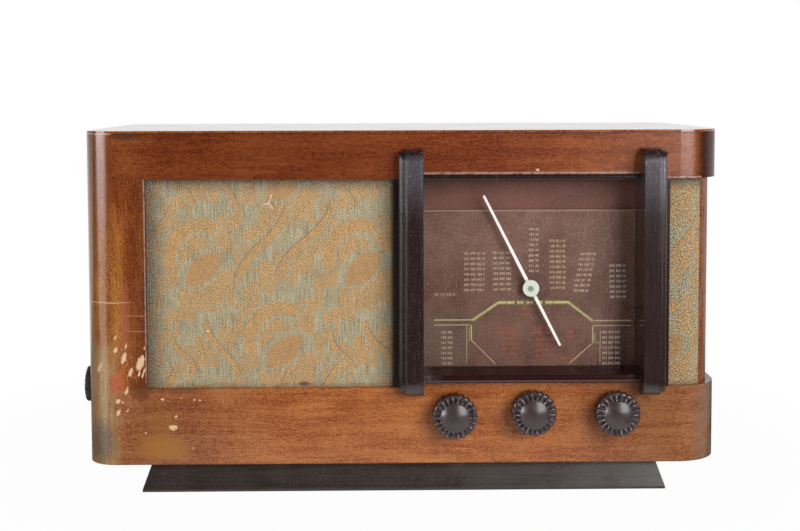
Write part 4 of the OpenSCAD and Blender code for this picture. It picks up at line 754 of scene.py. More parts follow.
def ribbon(g, u, v, at, turn, half_l, bend, width):
    """A slanting S-shaped ribbon, its thin dark edge and the bare ground beside it."""
    p, q = turned(g, repeat(g, u, v, at, every=2), turn)
    off = q + g.math("SINE", p * (math.pi / half_l)) * bend
    ends = g.step(g.size(p), half_l, half_l - 5)
    body = g.step(g.size(off), width / 2 + 0.9, width / 2 - 0.9) * ends
    edge = g.step(g.size(off - width * 0.55), 1, 0.35) * ends
    halo = g.step(g.size(off), width / 2 + 3, width / 2 + 1.5) * ends
    return body, edge, halo


def bars(g, along, across):
    """Bars side by side, each shifted along by its own amount."""
    lane = g.math("FLOOR", across / BAR_W)
    shift = g.math("FRACT", g.math("SINE", lane * 12.99) * 43.8)
    phase = g.math("FRACT", along / (2 * BAR_H) + shift)
    inner = g.math("FRACT", across / BAR_W)
    thread = g.step(g.size(inner - 0.5), 0.47, 0.33) * 0.8 + 0.2
    return g.step(g.size(phase - 0.5), 0.3, 0.26) * thread


def cloth(name, along, low_u, high_u, low_v, high_v, dirt_and_shade, shade=1, grain=1.8, coarse=1):
    """Jacquard grille cloth. The bounds are of what shows; its rims darken, partly with dirt and
    partly with painted shade from the wood round the opening.
    """
    g = Graph(name)
    u, v = along(g), g.z
    sway = (g.noise(u * 0.03, v * 0.03, 2) - 0.5) * 4
    rag = g.noise(u * 0.55, v * 0.35, 3, 2, 0.7) - 0.5
    su, sv = u + sway + rag * 1.2, v + sway - rag * 1.2
    fine = g.noise(u * 1.1 / coarse, v * 1.1 / coarse, 1, 1)
    warp = g.noise(u * 1, v * 0.05, 7, 2, 0.6)
    hatch = g.math("SINE", (u * 0.72 - v * 0.72 + rag * 1.2) * (2 * math.pi / THREAD))
    body, clear = leaf(g, su, sv)
    figure, halo = arch(g, su, sv)
    clear = g.most(clear, halo)
    lines = None
    for at, turn, half_l, bend, width in RIBBONS:
        shape, edge, beside = ribbon(g, su, sv, at, turn, half_l, bend, width)
        figure = g.most(figure, shape)
        clear = g.most(clear, beside)
        lines = edge if lines is None else g.most(lines, edge)
    a, b = repeat(g, su, sv + rag * 2, LEAF_AT)
    level = g.step(g.noise(a * 0.045, b * 0.045, 5, 1), 0.575, 0.59)
    weave = bars(g, b, a) * (1 - level) + bars(g, a * 1.4, b) * level
    figure = g.most(figure, weave * (1 - clear))
    cloud = g.noise(u * 0.07, v * 0.06, 9, 3, 0.6)
    worn = g.step(cloud, 0.26, 0.5)
    pile = g.step(g.math("MULTIPLY_ADD", hatch, 0.09, fine), 0.32, 0.66)
    patchy = g.noise(u * 0.3, v * 0.22, 12, 2, 0.7)
    figure = figure * (worn * 0.25 + g.step(patchy, 0.3, 0.55) * 0.4 + 0.32) * (pile * 0.35 + 0.65)
    ground = g.mix(g.step(warp * 0.7 + fine * 0.3, 0.34, 0.64), SAGE_DARK, SAGE_LIGHT)
    stray = g.step(g.noise(u * 0.8, v * 0.6, 4, 1), 0.53, 0.66) * 0.5
    g.color = g.mix(g.most(figure, stray), ground, g.mix(pile, GOLD_DARK, GOLD_LIGHT))
    ridge = g.step(hatch + (fine - 0.5) * 1.6, -0.7, 0.9)
    g.coat(body * 0.85, g.mix(ridge, LEAF_DARK, LEAF_LIGHT))
    g.coat(lines * 0.45, RIBBON_EDGE)
    between = (1 - ridge) * figure * 0.35
    light = (fine - 0.5) * grain + (patchy - 0.5) * 0.5 + (cloud - 0.5) * 0.4 + 1.06
    g.color = g.scale(g.color, light * shade * (1 - between))
    # widths of dirt and painted shade along the bottom, top, left and right rims
    bottom, top, left, right = dirt_and_shade
    smear = (g.noise(u * 0.1, v * 0.1, 6, 3, 0.65) - 0.5) * 11
    rims = g.most(
        g.step(u + smear, low_u + left, low_u) * 0.85,
        g.step(u + smear, high_u - right, high_u - 1) * 0.45,
        g.step(v + smear, high_v - top, high_v - 1) * 0.85,
        g.step(v + smear, low_v + bottom, low_v) * 0.45,
    )
    rim_mottle = g.step(g.noise(u * 0.7, v * 0.6, 8, 2, 0.7), 0.36, 0.6)
    g.coat(rims * (rim_mottle * 0.55 + 0.45), DIRT_AND_SHADE)
    stain = g.spot(u, v, (-88.4, 95.3), (4.2, 1.7), soft=0.5, share=0.75)
    dot = g.spot(u, v, (-172.8, 142.6), (0.9, 0.9), soft=0.3, share=0.9)
    g.coat(stain, (0.1, 0.035, 0.025))
    g.coat(dot, (0.8, 0.77, 0.68))
    cross = g.math("SINE", u * (2 * math.pi / 0.9)) * g.math("SINE", v * (2 * math.pi / 0.8))
    height = cross * 0.04 + figure * 0.08 + fine * 0.16 + ridge * body * 0.1
    return g.surface(0.9, height, Sheen_Weight=0.1, Sheen_Roughness=0.5)


def paint(node, material):
    """Gives a CAD node one material."""
    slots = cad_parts[node].data.materials
    slots.clear()
    slots.append(material)


def paint_nodes():
    """Every CAD node that shows gets a procedural material."""
    groups = {
        veneer("veneer_top_band", lies_flat, top_tone, 1.3, top_band_wear_and_painted_light, rough=0.25, coat=0):
            "top_band",
        veneer("veneer_bottom_band", lies_flat, rail_tone, 4.1, bottom_band_wear_and_painted_light, 0.25, 0.1):
            "bottom_band",
        veneer("veneer_stile", lies_upright, stile_tone, 2.2, stile_wear_and_painted_light): "left_stile",
        veneer("veneer_left_side", lies_upright, stile_tone, 2.2, front_wear_and_painted_light, coat=0.6):
            "left_side",
        veneer("veneer_right_side", lies_upright, side_tone, 6.4, rough=0.38, coat=0.05):
            "right_side",
        veneer("veneer_top", lies_on_top, plain_tone, 8.8, rough=0.16, coat=0.6): "top_panel",
        dark_lacquer("dark_lacquer", 0.7): "mullions dial_top_rail",
        dark_lacquer("bar_lacquer", 4, dust_and_sheen=True): "left_fin_bar right_fin_bar",
        plinth_lacquer(): "plinth",
        sill_lacquer(): "dial_sill",
        plywood(): "bottom_panel speaker_baffle corner_baffle cover_cleats",
        board("hardboard", (0.085, 0.04, 0.02), (0.165, 0.085, 0.045)): "rear_cover",
        backing_paint(): "dial_backing",
        scale_glass(): "scale_plate",
        pointer_enamel(): "pointer",
        metal("bright_steel", (0.56, 0.56, 0.57), 0.34):
            "wood_screws tuning_spindle volume_spindle waveband_spindle tone_spindle"
            " machine_bolts speaker_frame",
        metal("chassis_plate", (0.47, 0.47, 0.46), 0.48, stain=0.4, dark=0.5):
            "chassis gang_frame gang_pedestal",
        metal("drawn_alloy", (0.74, 0.75, 0.77), 0.36, brush=0.5):
            "drive_drum gang_rotor gang_stators smoothing_capacitor coil_cans",
        metal("dull_brass", (0.62, 0.44, 0.18), 0.38, stain=0.4, dark=0.5):
            "lamp_holders tuning_bush control_nuts",
        metal("screw_plate", (0.56, 0.57, 0.4), 0.42, stain=0.5, dark=0.4): "pointer_screw",
        metal("black_iron", (0.03, 0.03, 0.034), 0.45, metallic=0):
            "mains_transformer output_transformer",
        metal("magnet_paint", (0.045, 0.055, 0.08), 0.4, metallic=0): "speaker_magnet",
        board("laminate", (0.12, 0.052, 0.022), (0.2, 0.095, 0.045), rough=0.5):
            "waveband_switch socket_strips",
        moulded("control_case", (0.018, 0.013, 0.01), (0.035, 0.024, 0.018), 0.5):
            "volume_control tone_control",
        moulded("rubber", (0.012, 0.012, 0.012), (0.022, 0.021, 0.02), 0.8, coat=0):
            "chassis_feet mains_grommet",
        moulded("bakelite", (0.034, 0.018, 0.021), (0.058, 0.032, 0.037), 0.3, coat=0.3):
            "valve_holders",
        board("cone_paper", (0.012, 0.011, 0.01), (0.03, 0.027, 0.024), period=0.8):
            "speaker_cone",
        board("drive_cord", (0.5, 0.47, 0.36), (0.68, 0.65, 0.53), period=0.6): "drive_cord",
        clear_glass("lamp_glass", (0.94, 0.92, 0.86)): "dial_lamps",
        clear_glass("valve_glass", (0.9, 0.93, 0.92), silver=190): "valves",
    }
    for material, nodes in groups.items():
        for node in nodes.split():
            paint(node, material)


# New pieces
def piece(name, bm, material, body="cabinet", smooth=True):
    """Turns a mesh in metres into a piece that rides on a body."""
    mesh = bpy.data.meshes.new(name)
    bmesh.ops.recalc_face_normals(bm, faces=bm.faces)
    bm.to_mesh(mesh)
    bm.free()
    for face in mesh.polygons:
        face.use_smooth = smooth
    obj = shown(name, mesh)
    mesh.materials.append(material)
    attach(obj, body)
    return obj


def grid_sheet(columns, rows, place, thick):
    """A closed sheet over a grid of parameters 0 to 1; place gives a point and its normal."""
    bm = bmesh.new()
    sides = []
    for offset in (0, thick):
        layer = []
        for j in range(rows + 1):
            line = []
            for i in range(columns + 1):
                spot, normal = place(i / columns, j / rows)
                line.append(bm.verts.new(spot + normal * offset))
            layer.append(line)
        sides.append(layer)
    for layer in sides:
        for j in range(rows):
            for i in range(columns):
                near, far = layer[j], layer[j + 1]
                bm.faces.new((near[i], near[i + 1], far[i + 1], far[i]))
    front, back = sides
    rim = [(i, 0) for i in range(columns)] + [(columns, j) for j in range(rows)]
    rim += [(i, rows) for i in range(columns, 0, -1)] + [(0, j) for j in range(rows, 0, -1)]
    for k, (i, j) in enumerate(rim):
        i2, j2 = rim[(k + 1) % len(rim)]
        bm.faces.new((front[j][i], front[j2][i2], back[j2][i2], back[j][i]))
    return bm


CLOTH_T = 0.6
CLOTH_CELL = 2.5


def pucker(u, v):
    """Slack of a stretched old cloth, in millimetres, as faint waves."""
    waves = math.sin(u * 0.11 + math.sin(v * 0.04) * 1.5) + math.sin(v * 0.09 + u * 0.03)
    return 0.025 * waves


def speaker_cloth():
    material = cloth(
        "grille_cloth", lambda g: g.x,
        CLOTH_LOW.x + CLOTH_TUCK, CLOTH_HIGH.x, CLOTH_LOW.z + CLOTH_TUCK,
        CLOTH_HIGH.z - CLOTH_TUCK, (5, 14, 22, 20),
    )
    width, tall = CLOTH_HIGH.x - CLOTH_LOW.x, CLOTH_HIGH.z - CLOTH_LOW.z

    def place(s, t):
        x, z = CLOTH_LOW.x + s * width, CLOTH_LOW.z + t * tall
        y = CLOTH_LOW.y + 0.1 + pucker(x, z)
        return Vector((x, y, z)) * MM, Vector((0, MM, 0))

    bm = grid_sheet(int(width / CLOTH_CELL), int(tall / CLOTH_CELL), place, CLOTH_T)
    obj = piece("speaker_grille_cloth", bm, material)
    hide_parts("speaker_cloth")


# The corner cloth's bend, in millimetres: radius, centre as x and y, and arc
CORNER_R = 31.7
CORNER_CENTRE = (242, -92)
CORNER_ARC_DEG = 50
CORNER_COLUMNS = 18


def corner_cloth():
    """The strip beside the dial that bends round the corner to the post."""
    material = cloth(
        "corner_grille_cloth", lambda g: (g.x + g.y * 0.6) * 1.25 - 25,
        CORNER_LOW.x * 1.25 - 123, CORNER_HIGH.x * 1.25 - 70, CORNER_LOW.z + CLOTH_TUCK,
        CORNER_HIGH.z - CLOTH_TUCK, (5, 14, 4, 3), shade=0.8, grain=3.4, coarse=1.5,
    )
    cx, cy = CORNER_CENTRE
    flat_l = cx - CORNER_LOW.x
    arc_l = CORNER_R * math.radians(CORNER_ARC_DEG)
    width, tall = flat_l + arc_l, CORNER_HIGH.z - CORNER_LOW.z

    def place(s, t):
        run, z = s * width, CORNER_LOW.z + t * tall
        if run < flat_l:
            return Vector((CORNER_LOW.x + run, cy - CORNER_R, z)) * MM, Vector((0, MM, 0))
        a = (run - flat_l) / CORNER_R
        out = Vector((math.sin(a), -math.cos(a), 0))
        return (Vector((cx, cy, z)) + out * CORNER_R) * MM, out * -MM

    bm = grid_sheet(CORNER_COLUMNS, int(tall / CLOTH_CELL), place, CLOTH_T)
    obj = piece("corner_grille_cloth", bm, material)
    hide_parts("corner_cloth")


def round_wire(name, radius, fineness, material):
    """A curve for round wire, without its splines; the radius is in millimetres."""
    curve = bpy.data.curves.new(name, "CURVE")
    curve.dimensions = "3D"
    curve.bevel_depth = radius * MM
    curve.bevel_resolution = fineness
    curve.use_fill_caps = True
    curve.materials.append(material)
    return curve


THREAD_MIDDLE = (-118.3, 255.2)
THREAD_ENDS = [(-123.6, 254), (-115.6, 262.8), (-114.6, 250.6)]
THREAD_R = 0.32


def loose_thread():
    """The pale thread that stands on the loudspeaker's cloth, three short arms from one point."""
    material = ink("thread_fibre", (0.8, 0.74, 0.62), 0.1)
    curve = round_wire("loose_thread", THREAD_R, 2, material)
    y = CLOTH_LOW.y - 0.25
    for x, z in THREAD_ENDS:
        spline = curve.splines.new("BEZIER")
        spline.bezier_points.add(1)
        arm = (Vector((THREAD_MIDDLE[0], y, THREAD_MIDDLE[1])), Vector((x, y + 0.1, z)))
        for point, place in zip(spline.bezier_points, arm):
            point.co = place * MM
            point.handle_left_type = "AUTO"
            point.handle_right_type = "AUTO"
    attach(shown("loose_thread", curve), "cabinet")


# The drum's spring, in millimetres from the shaft along the drum's slot: where the wire starts,
# its coil's ends, where it leaves the web and where it stops
DRUM_SLOT_DEG = 117
SPRING_FROM = 11.7
SPRING_COIL = (13.4, 26.4)
SPRING_LEAD = 0.9
SPRING_REST = 31.4
SPRING_END = 33.4
SPRING_CURLS = 12
SPRING_SIDES = 12
SPRING_R = 1.1
SPRING_WIRE_R = 0.25


def drum_spring():
    """The drum's spring. It ends under the cord, which stands still while the drum turns."""
    axis_y = millimetres("drum_spring")[0].y + SPRING_R + SPRING_WIRE_R
    low, high = millimetres("drive_cord")
    start, stop = SPRING_COIL
    path = [(SPRING_FROM, 0, 0), (start - SPRING_LEAD, 0, 0)]
    steps = SPRING_CURLS * SPRING_SIDES
    for i in range(steps + 1):
        a = i / SPRING_SIDES * 2 * math.pi
        run = start + i / steps * (stop - start)
        path.append((run, SPRING_R * math.sin(a), -SPRING_R * math.cos(a)))
    path += [(stop + SPRING_LEAD, 0, 0), (SPRING_REST, 0, 0)]
    path.append((SPRING_END, (low.y + high.y) / 2 - axis_y, 0))
    c, s = math.cos(math.radians(DRUM_SLOT_DEG)), math.sin(math.radians(DRUM_SLOT_DEG))
    wire = metal("spring_wire", (0.6, 0.6, 0.6), 0.3)
    curve = round_wire("drum_spring_wire", SPRING_WIRE_R, 1, wire)
    spline = curve.splines.new("POLY")
    spline.points.add(len(path) - 1)
    for point, (p, q, r) in zip(spline.points, path):
        x, z = SHAFT[0] + p * c - r * s, SHAFT[1] + p * s + r * c
        point.co = (x * MM, (axis_y + q) * MM, z * MM, 1)
    obj = shown("drum_spring_wire", curve)
    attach(obj, "dial_drive")
    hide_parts("drum_spring")


SCREW_SPACING = 30
SLOT_W = 0.55
SLOT_DEEP = 0.9


def screw_slots():
    """Dark slots across the heads of the rear cover's screws, each turned by its own amount."""
    heads = {}
    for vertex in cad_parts["wood_screws"].data.vertices:
        x, y, z = vertex.co / MM
        if y > REAR - 0.3:
            cell = (round(x / SCREW_SPACING), round(z / SCREW_SPACING))
            heads.setdefault(cell, []).append((x, z))
    bm = bmesh.new()
    for turn, spots in enumerate(heads.values()):
        xs, zs = [spot[0] for spot in spots], [spot[1] for spot in spots]
        middle = Vector(((min(xs) + max(xs)) / 2, REAR - 0.25, (min(zs) + max(zs)) / 2)) * MM
        length = (max(xs) - min(xs)) * 0.9
        place = Matrix.Translation(middle) @ Matrix.Rotation(turn * 1.1 + 0.4, 4, "Y")
        size = Matrix.Diagonal((length * MM, SLOT_W * MM, SLOT_DEEP * MM, 1))
        bmesh.ops.create_cube(bm, size=1, matrix=place @ size)
    shadow = moulded("slot_shadow", (0.01, 0.009, 0.008), (0.02, 0.018, 0.015), 0.8, coat=0)
    piece("screw_slots", bm, shadow, smooth=False)


# Knobs, in millimetres, turned about their own axis: rings of (radius, height) from the back.
# A rim is given as (inset from the outer radius, height)
FRONT_FLUTES = 22
FRONT_COLUMNS = 440
FRONT_RIM = [
    (0.7, 0), (0.2, 0.5), (0, 1.2), (0, 4), (0, 7), (0, 10), (0, 12.6),
    (0, 13.8), (0.15, 14.7), (0.5, 15.3), (1, 15.7), (1.6, 15.95),
]
FACE_INSET = 2.2
FACE_STEPS = 12
RIB_HALF = (0.35, 1)
RIM_FLUTE_DEEP = 1.8
FACE_FLUTE_DEEP = 2.8
DOME_EDGE_R = 12.9
DOME_STEPS = 14
SIDE_RIBS = 24
SIDE_COLUMNS = 288
SIDE_RIB_HALF = (0.6, 1.5)
SIDE_RIB_DEEP = 1.1
SIDE_DOME_STEPS = 8
SPINDLE_R = 3.1
LEAST_R = 0.02


def ease(value, low, high):
    t = min(1, max(0, (value - low) / (high - low)))
    return t * t * (3 - 2 * t)


def from_middle(k, columns, count):
    """A column's angle from the middle of the nearest of so many equal parts."""
    angle = 2 * math.pi * k / columns
    part = 2 * math.pi / count
    return (angle + part / 2) % part - part / 2


def dome_rings(edge_r, curve_r, tall, steps, columns):
    """A dome's rings from its edge to its top, on a sphere of radius curve_r."""
    rings = []
    for i in range(steps + 1):
        radius = max(edge_r * (1 - i / steps), LEAST_R)
        height = tall - curve_r + math.sqrt(curve_r ** 2 - radius ** 2)
        rings.append([(radius, height)] * columns)
    return rings


def front_knob_rings(outer_r, tall):
    """A disc with flutes cut into its face and rim, and a shallow dome in the middle."""
    face_h = tall - DOME_RISE
    face_r = outer_r - FACE_INSET
    profile = [(outer_r - inset, height) for inset, height in FRONT_RIM]
    for i in range(FACE_STEPS + 1):
        profile.append((face_r - (face_r - DOME_EDGE_R - 0.2) * i / FACE_STEPS, face_h - 0.2))
    rings = []
    for radius, height in profile:
        on_face = ease(height, 9, face_h - 0.6)
        ring = []
        for k in range(FRONT_COLUMNS):
            side = radius * abs(from_middle(k, FRONT_COLUMNS, FRONT_FLUTES))
            flute = ease(side, *RIB_HALF)
            inward = RIM_FLUTE_DEEP * flute * (1 - on_face)
            ring.append((radius - inward, height - FACE_FLUTE_DEEP * flute * on_face))
        rings.append(ring)
    curve_r = (DOME_EDGE_R ** 2 + DOME_RISE ** 2) / (2 * DOME_RISE)
    return rings + dome_rings(DOME_EDGE_R, curve_r, tall, DOME_STEPS, FRONT_COLUMNS)


def side_knob_rings(outer_r, tall):
    """A ribbed rim round a faintly domed face."""
    rim = [(0.4, 0), (0, 0.6), (0, 3), (0, 6), (0, 9)]
    rim += [(0, tall - 2.8), (0.3, tall - 2), (0.9, tall - 1.5)]
    rings = []
    for inset, height in rim:
        ring = []
        for k in range(SIDE_COLUMNS):
            side = outer_r * abs(from_middle(k, SIDE_COLUMNS, SIDE_RIBS))
            groove = SIDE_RIB_DEEP * (1 - ease(side, *SIDE_RIB_HALF))
            ring.append((outer_r - inset - groove, height))
        rings.append(ring)
    curve_r = outer_r * 2.6
    return rings + dome_rings(outer_r - FACE_INSET, curve_r, tall, SIDE_DOME_STEPS, SIDE_COLUMNS)


def knob_mesh(rings, bore_d, place):
    """A closed turned solid over the rings, hollow at the back for its spindle."""
    bm = bmesh.new()
    count = len(rings[0])
    bore = [(LEAST_R, bore_d), (SPINDLE_R, bore_d), (SPINDLE_R, 0), (SPINDLE_R + 4, 0)]
    verts = []
    for ring in [[spot] * count for spot in bore] + rings:
        line = []
        for k, (radius, height) in enumerate(ring):
            a = 2 * math.pi * k / count
            line.append(bm.verts.new(place(radius * math.cos(a), radius * math.sin(a), height)))
        verts.append(line)
    for low, high in zip(verts, verts[1:]):
        for k in range(count):
            n = (k + 1) % count
            bm.faces.new((low[k], low[n], high[n], high[k]))
    bmesh.ops.remove_doubles(bm, verts=bm.verts, dist=0.03 * MM)
    return bm


def knob(body, axis, side, make_rings, cap, material):
    """A knob in its node's place. The box's axis and side number its height and its width; cap
    is how much stays closed over its spindle."""
    low, high = millimetres(f"{body}_knob")
    centre = (low + high) / 2
    tall = high[axis] - low[axis]

    def place(u, v, w):
        spot = Vector((centre.x + u, centre.y + u, centre.z + v))
        spot[axis] = high[axis] - w
        return spot * MM

    bm = knob_mesh(make_rings((high[side] - low[side]) / 2, tall), tall - cap, place)
    obj = piece(f"{body}_fluted_knob", bm, material, body)
    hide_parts(f"{body}_knob")


def knobs():
    resin = moulded(
        "knob_bakelite", (0.03, 0.016, 0.018), (0.052, 0.03, 0.033), 0.34, coat=0.2, ribs=True
    )
    for body in ("volume", "tuning", "waveband"):
        knob(body, 1, 0, front_knob_rings, 6, resin)
    knob("tone", 0, 2, side_knob_rings, 5, resin)


# The scale's print, in millimetres on the plate's front: x and z of each mark
PRINT_Y = PLATE_LOW.y - 0.04
PRINT_T = 0.03
BAND_PATH = [(61.4, 148.4), (84.6, 164.2), (147.2, 164.2), (169, 147.4)]
BAND_PARTS = [
    [(61.4, 148.4), (84.6, 164.2), (99, 164.2)], [(101.5, 164.2), (107, 164.2)],
    [(109.5, 164.2), (116, 164.2)], [(118.5, 164.2), (124, 164.2)],
    [(126.5, 164.2), (147.2, 164.2), (169, 147.4)],
]
# Each printed piece: its ink's name, colour and wear, and its lines as (path, width)
PRINTED_LINES = {
    "print_band": ("yellow_ink", (0.5, 0.41, 0.175), 0.35, [(part, 2) for part in BAND_PARTS]),
    "print_band_edges": ("olive_ink", (0.15, 0.135, 0.04), 0.35, [
        ([(x, z + 1.5) for x, z in BAND_PATH], 0.9), ([(x, z - 1.6) for x, z in BAND_PATH], 0.9),
        ([(62.9, 144), (62.9, 131)], 0.7),
    ]),
    "print_thin_lines": ("cream_line_ink", (0.46, 0.37, 0.2), 0.45, [
        ([(27.1, 148.7), (61, 148.7)], 1.1), ([(27.1, 144.2), (59.2, 144.2)], 0.8),
        ([(169.4, 147.4), (203.4, 147.4)], 1.1), ([(169.4, 142.9), (203.4, 142.9)], 0.8),
        ([(60.4, 144), (60.4, 130.9)], 1.2), ([(60.3, 130.6), (81.9, 108.9)], 0.7),
        ([(169.2, 142.5), (169.2, 127.9)], 1.1), ([(169.5, 127.5), (148.4, 108.9)], 0.8),
        ([(56.3, 143.6), (56.3, 109.7)], 0.5), ([(176, 138.9), (176, 109.7)], 0.6),
        ([(56.6, 130.3), (59.7, 130.3)], 0.4), ([(171.7, 127.5), (175.7, 127.5)], 0.4),
    ]),
    "print_green_marks": ("green_ink", (0.21, 0.22, 0.085), 0.4, [
        ([(58.6, 142), (58.6, 131.5)], 1.2),
        ([(171, 136.5), (171, 129), (168.6, 126.2)], 1.9),
    ]),
}
# Ticks across the band: place, and the band's slope there in degrees
TICKS = [
    (73.6, 156.9, 35), (92, 164.4, 0), (104, 164.4, 0), (113, 164.4, 0), (121, 164.4, 0),
    (134, 164.4, 0), (150.4, 161.9, -35), (160, 154.5, -35),
]
TICK_HALF_L = 1.6
TICK_HALF_W = 0.25


def stroke(bm, path, width):
    """A flat printed line of even width along a path."""
    half = width / 2
    left, right = [], []
    for i, (x, z) in enumerate(path):
        before, after = path[max(0, i - 1)], path[min(len(path) - 1, i + 1)]
        back = Vector((x - before[0], z - before[1]))
        ahead = Vector((after[0] - x, after[1] - z))
        along = (back.normalized() + ahead.normalized()).normalized()
        side = Vector((-along.y, along.x))
        lean = side.dot(Vector((-ahead.y, ahead.x)).normalized()) if ahead.length else 1
        reach = half / max(0.5, lean)
        left.append((x + side.x * reach, z + side.y * reach))
        right.append((x - side.x * reach, z - side.y * reach))
    add_outline(bm, left + right[::-1])


def add_outline(bm, outline):
    """A thin slab over a flat outline on the plate."""
    near = [bm.verts.new(Vector((x, PRINT_Y - PRINT_T, z)) * MM) for x, z in outline]
    far = [bm.verts.new(Vector((x, PRINT_Y, z)) * MM) for x, z in outline]
    bm.faces.new(near)
    bm.faces.new(far[::-1])
    for k in range(len(outline)):
        n = (k + 1) % len(outline)
        bm.faces.new((near[k], near[n], far[n], far[k]))


def scale_lines():
    for name, (ink_name, color, worn, lines) in PRINTED_LINES.items():
        bm = bmesh.new()
        for path, width in lines:
            stroke(bm, path, width)
        piece(name, bm, ink(ink_name, color, worn), smooth=False)

    bm = bmesh.new()
    for x, z, slope in TICKS:
        a = math.radians(slope + 90)
        dx, dz = math.cos(a) * TICK_HALF_L, math.sin(a) * TICK_HALF_L
        verts = []
        for end, side in ((-1, -1), (-1, 1), (1, 1), (1, -1)):
            px, pz = x + end * dx + side * TICK_HALF_W, z + end * dz
            verts.append(bm.verts.new(Vector((px, PRINT_Y - PRINT_T * 2, pz)) * MM))
        bm.faces.new(verts)
    piece("print_ticks", bm, ink("dark_ink", (0.045, 0.025, 0.018), 0.3), smooth=False)


# Printed numbers: ink's name, colour and wear, figures' height, and columns, each with its left
# end, upper row, rows, signs in a row and how far each row stands to the right of the last
PRINTED_NUMBERS = {
    "print_numbers": ("cream_ink", (0.52, 0.4, 0.27), 0.7, 2.9, [
        (53.7, 207.5, 8, 14, 0), (79.4, 208, 8, 12, 0.1), (111.7, 229, 9, 7, 0),
        (130.1, 218.5, 10, 12, 0), (157.2, 206.5, 8, 10, -0.9), (27, 170.6, 1, 13, 0),
        (33.2, 136.6, 7, 9, 0),
    ]),
    "print_pale_numbers": ("pale_ink", (0.58, 0.52, 0.44), 0.6, 2.9, [
        (183.7, 196, 7, 11, 0.1), (177.7, 136, 7, 12, 0),
    ]),
    "print_red_numbers": ("red_ink", (0.36, 0.06, 0.026), 0.6, 3.19, [
        (105.5, 157.5, 2, 6, 0), (86, 140, 6, 12, 0.4), (113.5, 140.5, 2, 12, 0),
        (118, 129.5, 4, 13, 0), (146.5, 136.5, 2, 7, 0), (140, 112.5, 1, 8, 0),
    ]),
}
ROW_STEP = 4.7


def plain_numbers(k, length):
    """A row of made-up plain numbers of three figures each, different for each row."""
    value = str((k * 37 + 211) * 7919 * 104729)
    groups = [value[i:i + 3] for i in range(0, 12, 3)]
    return " ".join(groups)[:length]


def number_row(bm, signs, size, x, z):
    """Adds a row of signs to a mesh, its left end at x and z."""
    curve = bpy.data.curves.new("figures", "FONT")
    curve.body = signs
    curve.size = size * MM
    curve.space_character = 1.1
    curve.offset = 0.02 * size * MM
    curve.extrude = PRINT_T / 2 * MM
    curve.resolution_u = 2
    obj = shown("figures", curve)
    mesh = obj.to_mesh()
    place = Matrix.Translation(Vector((x, PRINT_Y - PRINT_T / 2, z)) * MM)
    mesh.transform(place @ Matrix.Rotation(math.pi / 2, 4, "X"))
    bm.from_mesh(mesh)
    obj.to_mesh_clear()
    bpy.data.objects.remove(obj)
    bpy.data.curves.remove(curve)


def scale_numbers():
    for name, (ink_name, color, worn, size, columns) in PRINTED_NUMBERS.items():
        bm = bmesh.new()
        k = 0
        for left, upper, rows, length, lean in columns:
            for row in range(rows):
                k += 1
                signs = plain_numbers(k, length - (k * 5 + row * 3) % 4)
                number_row(bm, signs, size, left + lean * row, upper - row * ROW_STEP)
        piece(name, bm, ink(ink_name, color, worn), smooth=False)


# Floor, light and world, in metres. The paper glows fully beyond the shadow's reach
FLOOR_HALF = 30
PAPER_TONE = 0.86
PAPER_GLOW = 0.97
SHADOW_REACH = (0.3, 0.62)
# In gloss the paper shows beyond these places, and a strip beside the round left corner glows
# as a painted reflection of the left lamp on the paper
PAPER_Y = (-0.5, -0.22)
PAPER_SIDE_X = (0.2, 0.4)
STRIP_FROM = (-0.26, -0.125)
STRIP_GLOW = 1.8
# Lamps: azimuth to the right of the front, distance, width, lower and upper end, power
LAMPS = {
    "right_softbox": (35.3, 2.35, 1.31, (0.1, 2), 62),
    "left_softbox": (-56, 2.2, 1.5, (0.04, 1.35), 11),
}
# The window that the round left corner mirrors, as a direction from above
WINDOW = (-0.839, -0.545)
WINDOW_GLOW = 13


def background_rays(g):
    """1 for rays that see the background: from the camera, in gloss and through glass."""
    path = g.add("ShaderNodeLightPath")
    kinds = ("Camera", "Glossy", "Transmission")
    return [Num(g, path.outputs[f"Is {kind} Ray"]) for kind in kinds]


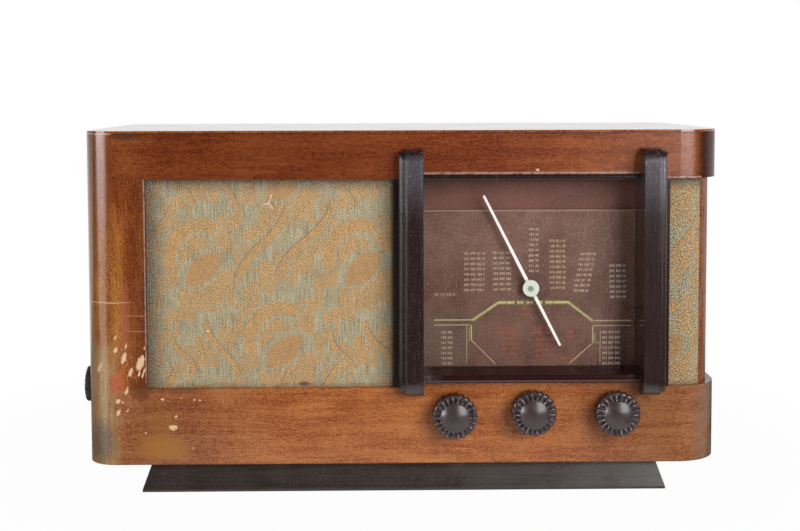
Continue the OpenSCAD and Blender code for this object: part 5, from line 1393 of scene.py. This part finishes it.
def make_floor():
    """A pale floor that reads as white paper and keeps the object's shadow."""
    bm = bmesh.new()
    corners = [(-1, -1), (1, -1), (1, 1), (-1, 1)]
    bm.faces.new([bm.verts.new((x * FLOOR_HALF, y * FLOOR_HALF, 0)) for x, y in corners])
    mesh = bpy.data.meshes.new("floor")
    bm.to_mesh(mesh)
    bm.free()
    g = Graph("floor_paper")
    camera, glossy, through = background_rays(g)
    x, y = g.x * MM, g.y * MM
    near = g.step(y - g.step(g.size(x), *PAPER_SIDE_X) * 0.7, *PAPER_Y)
    slope = (x - STRIP_FROM[0]) / (y - STRIP_FROM[1])
    strip = g.step(slope, 0.75, 1) * g.step(slope, 3.6, 2.9) * g.step(y, -0.15, -0.35)
    away = g.math("SQRT", g.x * g.x + g.y * g.y) * MM
    plain = g.step(away, *SHADOW_REACH) * (1 - PAPER_GLOW) + PAPER_GLOW
    tone = (g.blotch(700, 1) - 0.5) * 0.01 + PAPER_TONE
    g.color = g.point(tone, tone, tone)
    g.surface(0.9, Specular_IOR_Level=0.2)
    glow = g.add("ShaderNodeEmission")
    strength = 1 - glossy * (1 - near) * 0.94 + glossy * strip * STRIP_GLOW
    g.feed(glow.inputs["Strength"], strength)
    share = g.most(camera * plain, through * plain, glossy * 0.92)
    blend = g.add("ShaderNodeMixShader")
    g.fed(blend, range(3), (share, g.shader.outputs[0], glow.outputs[0]))
    out = next(n for n in g.tree.nodes if n.type == "OUTPUT_MATERIAL")
    g.feed(out.inputs["Surface"], blend.outputs[0])
    mesh.materials.append(g.material)
    shown("floor", mesh)


def softbox(name, azimuth, distance, width, span, power):
    """A tall lamp that stands upright round the object."""
    data = bpy.data.lights.new(name, "AREA")
    data.shape = "RECTANGLE"
    data.size, data.size_y, data.energy = width, span[1] - span[0], power
    a = math.radians(azimuth)
    away = Vector((math.sin(a), -math.cos(a), 0))
    middle = away * distance + Vector((0, 0, (span[0] + span[1]) / 2))
    turn = away.to_track_quat("Z", "Y").to_matrix().to_4x4()
    shown(name, data).matrix_world = Matrix.Translation(middle) @ turn


def make_world():
    """White for the camera and behind the object, and a dim room on the other sides."""
    world = bpy.data.worlds.new("studio")
    bpy.context.scene.world = world
    world.use_nodes = True
    g = Nodes(world.node_tree)
    camera, glossy, through = background_rays(g)
    parts = g.add("ShaderNodeSeparateXYZ")
    g.feed(parts.inputs[0], g.add("ShaderNodeTexCoord").outputs["Generated"])
    x, y = Num(g, parts.outputs[0]), Num(g, parts.outputs[1])
    dim = (g.step(y, -0.35, 0.25) * 0.32 + 0.11) * (1 - g.step(x, 0.1, 0.7) * 0.75)
    window = g.step(x * WINDOW[0] + y * WINDOW[1], 0.93, 0.965)
    mirror = g.step(y, 0.72, 0.92) * 0.93 + 0.07 + window * WINDOW_GLOW
    dim = dim * (1 - camera) * (1 - glossy) * (1 - through)
    back = g.add("ShaderNodeBackground")
    strength = g.most(dim, camera, through, glossy * mirror)
    g.fed(back, ("Color", "Strength"), ((1, 1, 1), strength))
    out = g.add("ShaderNodeOutputWorld")
    g.feed(out.inputs["Surface"], back.outputs[0])


make_camera()
bpy.context.scene.view_settings.view_transform = "Standard"
paint_nodes()
speaker_cloth()
corner_cloth()
loose_thread()
knobs()
screw_slots()
drum_spring()
scale_lines()
scale_numbers()
make_floor()
for name, values in LAMPS.items():
    softbox(name, *values)
make_world()
